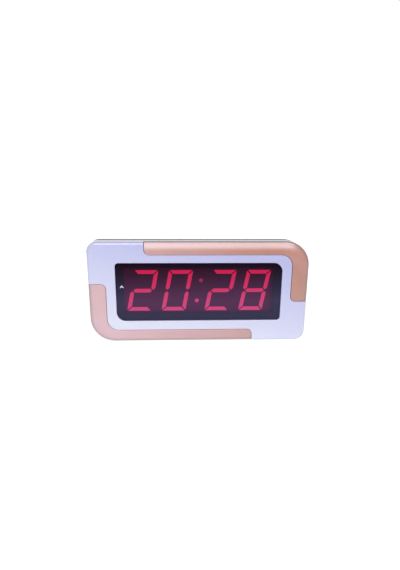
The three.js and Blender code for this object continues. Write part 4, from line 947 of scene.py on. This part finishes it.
def cover_tongue():
    """The tongue into the shell, with its root in the cover's wall."""
    start, end = SHELL_DEPTH - LIP_LENGTH, COVER_FRONT + TOP_FLAT / 2
    tongue = slab(face_outline(SHELL_WALL + GAP), start, end)
    root = slab(face_outline(COVER_WALL / 2), COVER_FRONT, end)
    hollow = slab(face_outline(SHELL_WALL + GAP + LIP_WALL), start - OVERCUT, end + OVERCUT)
    return cut(join(tongue, root), hollow)


def speaker_ring():
    radius, front = SPEAKER_RADIUS + GAP, REAR_INNER - RING_HEIGHT
    return cut(
        rod(radius + RING_WALL, front, DEPTH - COVER_WALL / 2, SPEAKER),
        rod(radius, front - OVERCUT, REAR_INNER, SPEAKER),
    )


def cover_body():
    """The cover before its holes are cut."""
    skin = [(COVER_FRONT, cover_outline(0, 0)), (DECK_START, cover_outline(0, 0))]
    skin += [(DEPTH - rest, cover_outline(1, done)) for done, rest in bend(REAR_ROUND, EDGE_STEPS)]
    rear_share = (REAR_INNER - DECK_START) / (DECK_END - DECK_START)
    room = [
        (COVER_FRONT - OVERCUT, cover_outline(0, COVER_WALL)),
        (DECK_START, cover_outline(0, COVER_WALL)),
        (REAR_INNER, cover_outline(rear_share, COVER_WALL)),
    ]
    tube_radius, tube_end = SCREW_HEAD + GAP + TUBE_WALL, DEPTH - REAR_ROUND / 2
    tubes = [rod(tube_radius, TUBE_START, tube_end, place) for place in SCREWS]
    bay = block(
        around(0, BAY_LENGTH + 2 * BAY_WALL),
        (BAY_FLOOR - BAY_WALL, DEPTH - COVER_WALL / 2),
        around(BAY_Z, BAY_HEIGHT + 2 * BAY_WALL),
    )
    return join(cut(loft(skin), loft(room)), cover_tongue(), *tubes, bay, speaker_ring())


def screw_bores():
    bores = []
    for place in SCREWS:
        bores.append(flared(growing_circle(SCREW_HEAD + GAP, place), SCREW_SEAT))
        bores.append(rod(SCREW_SHANK + GAP, TUBE_START - OVERCUT, SCREW_SEAT + OVERCUT, place))
    return bores


def bay_cuts():
    """The bay, the door's seat, a scoop for the finger and the holes for the door's hooks."""
    mouth = DEPTH + OVERCUT
    bay = block(around(0, BAY_LENGTH), (BAY_FLOOR, mouth), around(BAY_Z, BAY_HEIGHT))
    seat = even_rect(DOOR_WIDTH + 2 * GAP, DOOR_HEIGHT + 2 * GAP, DOOR_CORNER, 0, BAY_Z)
    dish = [
        (SCOOP_RADIUS * math.sin(a), DEPTH + SCOOP_LIFT - (SCOOP_DEPTH + SCOOP_LIFT) * math.cos(a))
        for a in quarter(EDGE_STEPS)
    ]
    scoop = turned([*dish, (SCOOP_RADIUS, mouth), (0, mouth)], (0, BAY_Z + DOOR_HEIGHT / 2))
    depths = (HOOK_FRONT - 2 * GAP, HOOK_REAR + GAP)
    levels = (BAY_BOTTOM - HOOK_REACH - 2 * GAP, BAY_BOTTOM + GAP)
    hooks = [block(around(x, HOOK_WIDTH + 2 * GAP), depths, levels) for x in HOOK_PLACES]
    return [bay, slab(seat, DOOR_INNER - GAP, mouth), scoop, *hooks]


def grille_holes():
    """Rings of round holes about a middle one, six more in each ring."""
    places = []
    for ring in range(GRILLE_RINGS):
        places += circle(GRILLE_PITCH * ring, *SPEAKER, max(6 * ring, 1))
    outlines = [growing_circle(GRILLE_HOLE, place, GRILLE_SIDES) for place in places]
    return [flared(outline, HOLE_START, GRILLE_LIP) for outline in outlines]


def vent_slots():
    xs = [VENT_PITCH * (i - (VENTS - 1) / 2) for i in range(VENTS)]
    outlines = [growing_rect(VENT_WIDTH, VENT_HEIGHT, VENT_CORNER, x, VENT_Z) for x in xs]
    return [flared(outline, HOLE_START) for outline in outlines]


def key_outline(x, length, grow):
    corner = max(KEY_CORNER + grow, KEY_LEAST_CORNER)
    return even_rect(length + 2 * grow, KEY_WIDTH + 2 * grow, corner, x)


def control_holes():
    """The holes of the alarm slide, the socket and the keys."""
    slot_length, slot_width = SLIDER_LENGTH + SLIDER_TRAVEL + 2 * GAP, SLIDER_WIDTH + 2 * GAP
    slot = growing_rect(slot_length, slot_width, SLOT_CORNER, SLIDER_X, SLIDER_Z)
    holes = [flared(slot, HOLE_START, SLOT_LIP)]
    holes.append(rod(JACK_BARREL + GAP, HOLE_START, DEPTH + OVERCUT, JACK))
    for _, x, length in KEYS.values():
        hole = plate(key_outline(x, length, GAP), KEY_FLANGE_TOP - OVERCUT, KEY_PROUD + OVERCUT)
        holes.append(moved(hole, DECK))
    return holes


def cover_mesh():
    return cut(
        cover_body(),
        *screw_bores(),
        *bay_cuts(),
        *grille_holes(),
        *vent_slots(),
        *control_holes(),
        *foot_recesses("rear"),
    )


piece("cover_moulding", cover_mesh(), [charcoal], "case", "rear_cover")


# Keys


def key_ribs(x, length):
    """Raised ribs to feel for: three on the long bar, one on a button."""
    steps = (-RIB_PITCH, 0, RIB_PITCH) if length > 2 * KEY_WIDTH else (0,)
    base, top = KEY_PROUD - 2 * RIB_RISE, KEY_PROUD + RIB_RISE
    ribs = []
    for step in steps:
        full = even_rect(RIB_WIDTH, RIB_LENGTH, RIB_CORNER, x + step)
        crest = even_rect(RIB_WIDTH - 2 * RIB_SOFT, RIB_LENGTH - 2 * RIB_SOFT, RIB_CREST_CORNER, x + step)
        ribs.append(standing([(base, full), (top - RIB_SOFT, full), (top, crest)]))
    return ribs


def key_mesh(x, length):
    """A flange under the deck, a cap with a soft edge and a dished top, and a stem below."""
    flange_bottom = KEY_FLANGE_TOP - KEY_FLANGE_THICK
    levels = [(flange_bottom, KEY_FLANGE), (KEY_FLANGE_TOP, KEY_FLANGE), (KEY_FLANGE_TOP, 0)]
    levels += [(KEY_PROUD - rest, -done) for done, rest in bend(KEY_SOFT, KEY_STEPS)]
    levels += [
        (KEY_PROUD - KEY_DISH * math.sin(a), -KEY_SOFT - KEY_DISH_RUN * (1 - math.cos(a)) - HAIR)
        for a in quarter(KEY_STEPS)[1:]
    ]
    cap = standing([(level, key_outline(x, length, grow)) for level, grow in levels])
    stem = plate(circle(KEY_STEM_RADIUS, x, 0), flange_bottom - KEY_STEM, KEY_FLANGE_TOP)
    return join(cap, stem, *key_ribs(x, length))


for node, (body_name, x, length) in KEYS.items():
    piece(f"{node}_cap", key_mesh(x, length), [key_grey], body_name, node, DECK)


# Feet


def foot_mesh(row, side):
    outline = foot_outline(row, side)
    floor, top = -HALF_HEIGHT - FOOT_HEIGHT, -HALF_HEIGHT + FOOT_RECESS - GAP
    edge = [(floor + rest, outline(-done)) for done, rest in reversed(bend(FOOT_SOFT))]
    return standing([*edge, (top, outline(0))])


for row in FOOT_ROWS:
    for side in FOOT_SIDES:
        node = f"{row}_foot_{side}"
        piece(f"{node}_pad", foot_mesh(row, side), [rubber], "case", node)


# Case screws with a cross recess


def screw_mesh(place):
    x, z = place
    tip, seat = TUBE_START - GAP - SCREW_REACH, SCREW_SEAT + GAP
    rim, rear = seat + SCREW_RIM, seat + HEAD_HEIGHT
    shank = [(0, tip), (SCREW_SHANK / 2, tip), (SCREW_SHANK, tip + SCREW_SHANK), (SCREW_SHANK, seat)]
    dome = [(SCREW_HEAD * math.cos(a), rim + (rear - rim) * math.sin(a)) for a in DOME_ANGLES]
    body = turned([*shank, (SCREW_HEAD, seat), *dome, (0, rear)], place, SCREW_SIDES)
    depths = (rear - CROSS_DEPTH, rear + OVERCUT)
    return cut(
        body,
        block(around(x, CROSS_LENGTH), depths, around(z, CROSS_WIDTH)),
        block(around(x, CROSS_WIDTH), depths, around(z, CROSS_LENGTH)),
    )


for number, place in enumerate(SCREWS, 1):
    name = f"cross_screw_{number}"
    piece(name, screw_mesh(place), [steel], "case", f"case_screw_{number}")


# Battery door and cells


def door_mesh():
    """A panel with two hooks at its lower edge and grooves for the finger."""
    outline = growing_rect(DOOR_WIDTH, DOOR_HEIGHT, DOOR_CORNER, 0, BAY_Z)
    panel = soft_slab(outline, DOOR_INNER, DEPTH, DOOR_SOFT)
    heel = BAY_BOTTOM + GAP
    hook_top = heel + HOOK_THICK
    hooks = []
    for x in HOOK_PLACES:
        width = around(x, HOOK_WIDTH)
        hooks.append(block(width, (HOOK_FRONT, DOOR_INNER + GAP), (heel, hook_top)))
        hooks.append(block(width, (HOOK_FRONT, HOOK_REAR), (BAY_BOTTOM - HOOK_REACH, hook_top)))
    grooves = []
    for i in range(GROOVES):
        level = BAY_Z + DOOR_HEIGHT / 2 - (i + 1.5) * GROOVE_PITCH
        groove = growing_rect(GROOVE_LENGTH, GROOVE_WIDTH, GROOVE_CORNER, 0, level)
        grooves.append(flared(groove, DEPTH - GROOVE_DEPTH, GROOVE_LIP))
    return cut(join(panel, *hooks), *grooves)


def cell_mesh(level, nub_side):
    """A cell on its side: material 0 on its jacket, 1 on its ends."""
    tail = GAP - LEAF_TIP
    end = tail + CELL_LENGTH
    shoulder = end - NUB_LENGTH
    profile = [(0, tail), (CELL_BASE, tail), (CELL_GROOVE, tail + CELL_GROOVE_DEPTH)]
    profile += [(CELL_RADIUS - rest, tail + SLEEVE_START + done) for done, rest in bend(CELL_SOFT)]
    profile += [(CELL_RADIUS - done, shoulder - rest) for done, rest in bend(CELL_SOFT)]
    profile += [(CELL_SEAL, shoulder - SEAL_DROP), (NUB_RADIUS, shoulder)]
    profile += [(NUB_RADIUS, end - NUB_EDGE), (NUB_RADIUS - NUB_EDGE, end), (0, end)]
    mesh = turned(profile, (0, 0))
    for face in mesh.polygons:
        covered = tail + JACKET_START < face.center.y < shoulder - JACKET_END
        face.material_index = 0 if covered else 1
    turn = Matrix.Rotation(-nub_side * math.pi / 2, 4, "Z")
    return moved(mesh, Matrix.Translation((0, CELL_DEPTH, level)) @ turn)


piece("door_panel", door_mesh(), [charcoal], "door", "battery_door")
for number, nub_side in ((1, 1), (2, -1)):
    mesh = cell_mesh(BAY_Z + (number - 1.5) * CELL_PITCH, nub_side)
    piece(f"cell_body_{number}", mesh, [jacket, steel], "case", f"backup_cell_{number}")


# Power socket and alarm knob


def socket_mesh():
    """A barrel with a flange and a bore: material 1 on its pin, 0 on the rest."""
    rear = DEPTH + GAP
    mouth = rear + JACK_FLANGE
    front = mouth - JACK_LENGTH
    floor = front + JACK_FLOOR
    pin_end = DEPTH - PIN_SINK
    profile = [(0, front), (JACK_BARREL, front), (JACK_BARREL, rear), (JACK_FLANGE_RADIUS, rear)]
    profile += [(JACK_FLANGE_RADIUS - done, mouth - rest) for done, rest in bend(JACK_SOFT)]
    profile += [(JACK_BORE + rest, mouth - done) for done, rest in bend(JACK_SOFT)]
    profile += [(JACK_BORE, floor), (JACK_PIN, floor)]
    profile += [
        (JACK_PIN * math.cos(a), pin_end - PIN_TIP + PIN_TIP * math.sin(a)) for a in quarter(BEND_STEPS)[:-1]
    ]
    mesh = turned([*profile, (0, pin_end)], JACK)
    for face in mesh.polygons:
        x, depth, z = face.center
        on_pin = math.hypot(x - JACK[0], z - JACK[1]) < JACK_PIN + HAIR
        face.material_index = 1 if on_pin else 0
    return mesh


def knob_mesh():
    """A grip with three grooves, a flange behind the slot and a stem into the switch."""
    x = SLIDER_X - SLIDER_TRAVEL / 2
    top = DEPTH + SLIDER_PROUD
    flange_rear = REAR_INNER - GAP
    flange_front = flange_rear - SLIDER_FLANGE_THICK
    outline = growing_rect(SLIDER_LENGTH, SLIDER_WIDTH, SLIDER_CORNER, x, SLIDER_Z)
    grip = soft_slab(outline, flange_front, top, SLIDER_SOFT)
    flange = block(
        around(x, SLIDER_LENGTH + 2 * SLIDER_FLANGE),
        (flange_front, flange_rear),
        around(SLIDER_Z, SLIDER_WIDTH + SLIDER_FLANGE),
    )
    stem_depths = (flange_front - SLIDER_STEM_LENGTH, flange_rear)
    stem = block(around(x, SLIDER_STEM), stem_depths, around(SLIDER_Z, SLIDER_STEM))
    depths, across = (top - GRIP_DEPTH, top + OVERCUT), around(SLIDER_Z, SLIDER_WIDTH + 2 * OVERCUT)
    grooves = [block(around(x + GRIP_PITCH * i, GRIP_WIDTH), depths, across) for i in (-1, 0, 1)]
    return cut(join(grip, flange, stem), *grooves)


piece("socket_body", socket_mesh(), [black, steel], "case", "power_socket")
piece("knob_cap", knob_mesh(), [key_grey], "alarm_slide", "slide_knob")


# Floor, light and camera: lengths of floor and lamp in metres

WHITE = (1, 1, 1, 1)
FLOOR_SIZE, FLOOR_TINT, FLOOR_ROUGH, FLOOR_LIFT = 6, (0.75, 0.75, 0.75, 1), 0.9, 0.8
WORLD_STRENGTH, SHOWN_STRENGTH = 0.3, 1
LAMP_PLACE, LAMP_TARGET, LAMP_SIZE = (0.05, -0.92, 0.85), (0, 0, 0.045), (1.5, 0.8)
LAMP_POWER, LAMP_COLOUR = 11.2, (0.93, 0.93, 1.0)
CAMERA_AZIMUTH, CAMERA_ELEVATION, CAMERA_ROLL = map(math.radians, (-2.67, 15.52, 0.47))
CAMERA_DISTANCE, CAMERA_TARGET = 382.8, (0.66, 0, 7.8)
CAMERA_LENS, CAMERA_SENSOR, CAMERA_CLIP = 26.65, 36, 0.01


def shown_by_light_path(tree):
    """1 for rays that see the surface directly, in a gloss or through glass, else 0."""
    path = tree.nodes.new("ShaderNodeLightPath").outputs
    total = path["Is Camera Ray"]
    for name in ("Is Glossy Ray", "Is Transmission Ray"):
        total = computed(tree, "Math", "MAXIMUM", total, path[name])["Value"]
    return total


def add_floor():
    """A pale floor, lifted to white where it is seen, with the shadow kept."""
    low, high = around(0, FLOOR_SIZE)
    mesh = bpy.data.meshes.new("floor")
    mesh.from_pydata([(low, low, 0), (high, low, 0), (high, high, 0), (low, high, 0)], [], [(0, 1, 2, 3)])
    floor = bpy.data.objects.new("floor", mesh)
    bpy.context.scene.collection.objects.link(floor)
    finish = Finish("pale_floor")
    finish.set(Base_Color=FLOOR_TINT, Roughness=FLOOR_ROUGH, Specular_IOR_Level=0, Emission_Color=WHITE)
    seen = shown_by_light_path(finish.tree)
    lift = computed(finish.tree, "Math", "MULTIPLY", seen, FLOOR_LIFT)
    finish.feed("Emission Strength", lift["Value"])
    mesh.materials.append(finish.material)


def add_world():
    """Soft light from all round, with a white background where it is seen."""
    world = bpy.data.worlds.new("studio")
    bpy.context.scene.world = world
    world.use_nodes = True
    tree = world.node_tree
    soft = fill(tree.nodes["Background"], Color=WHITE, Strength=WORLD_STRENGTH)
    shown = fill(tree.nodes.new("ShaderNodeBackground"), Color=WHITE, Strength=SHOWN_STRENGTH)
    mix = tree.nodes.new("ShaderNodeMixShader")
    tree.links.new(shown_by_light_path(tree), mix.inputs["Fac"])
    tree.links.new(soft.outputs[0], mix.inputs[1])
    tree.links.new(shown.outputs[0], mix.inputs[2])
    tree.links.new(mix.outputs[0], tree.nodes["World Output"].inputs["Surface"])


def add_lamp():
    """One large soft lamp above the front."""
    light = bpy.data.lights.new("key_light", "AREA")
    light.shape = "RECTANGLE"
    light.size, light.size_y = LAMP_SIZE
    light.energy = LAMP_POWER
    light.color = LAMP_COLOUR
    lamp = bpy.data.objects.new("key_light", light)
    lamp.location = LAMP_PLACE
    lamp.rotation_mode = "QUATERNION"
    lamp.rotation_quaternion = (Vector(LAMP_TARGET) - Vector(LAMP_PLACE)).to_track_quat("-Z", "Y")
    bpy.context.scene.collection.objects.link(lamp)


def add_camera():
    """A camera swung round its target, rolled and moved back from it."""
    swing = Matrix.Rotation(CAMERA_AZIMUTH, 4, "Z")
    rise = Matrix.Rotation(math.pi / 2 - CAMERA_ELEVATION, 4, "X")
    roll = Matrix.Rotation(CAMERA_ROLL, 4, "Z")
    back = Matrix.Translation((0, 0, CAMERA_DISTANCE * MM))
    camera = bpy.data.objects.new("camera", bpy.data.cameras.new("camera"))
    camera.data.sensor_width = CAMERA_SENSOR
    camera.data.lens = CAMERA_LENS
    camera.data.clip_start = CAMERA_CLIP
    target = Matrix.Translation(TO_FRAME @ Vector(CAMERA_TARGET))
    camera.matrix_world = target @ swing @ rise @ roll @ back
    bpy.context.scene.collection.objects.link(camera)
    bpy.context.scene.camera = camera


add_floor()
add_world()
add_lamp()
add_camera()
bpy.context.scene.view_settings.view_transform = "Standard"
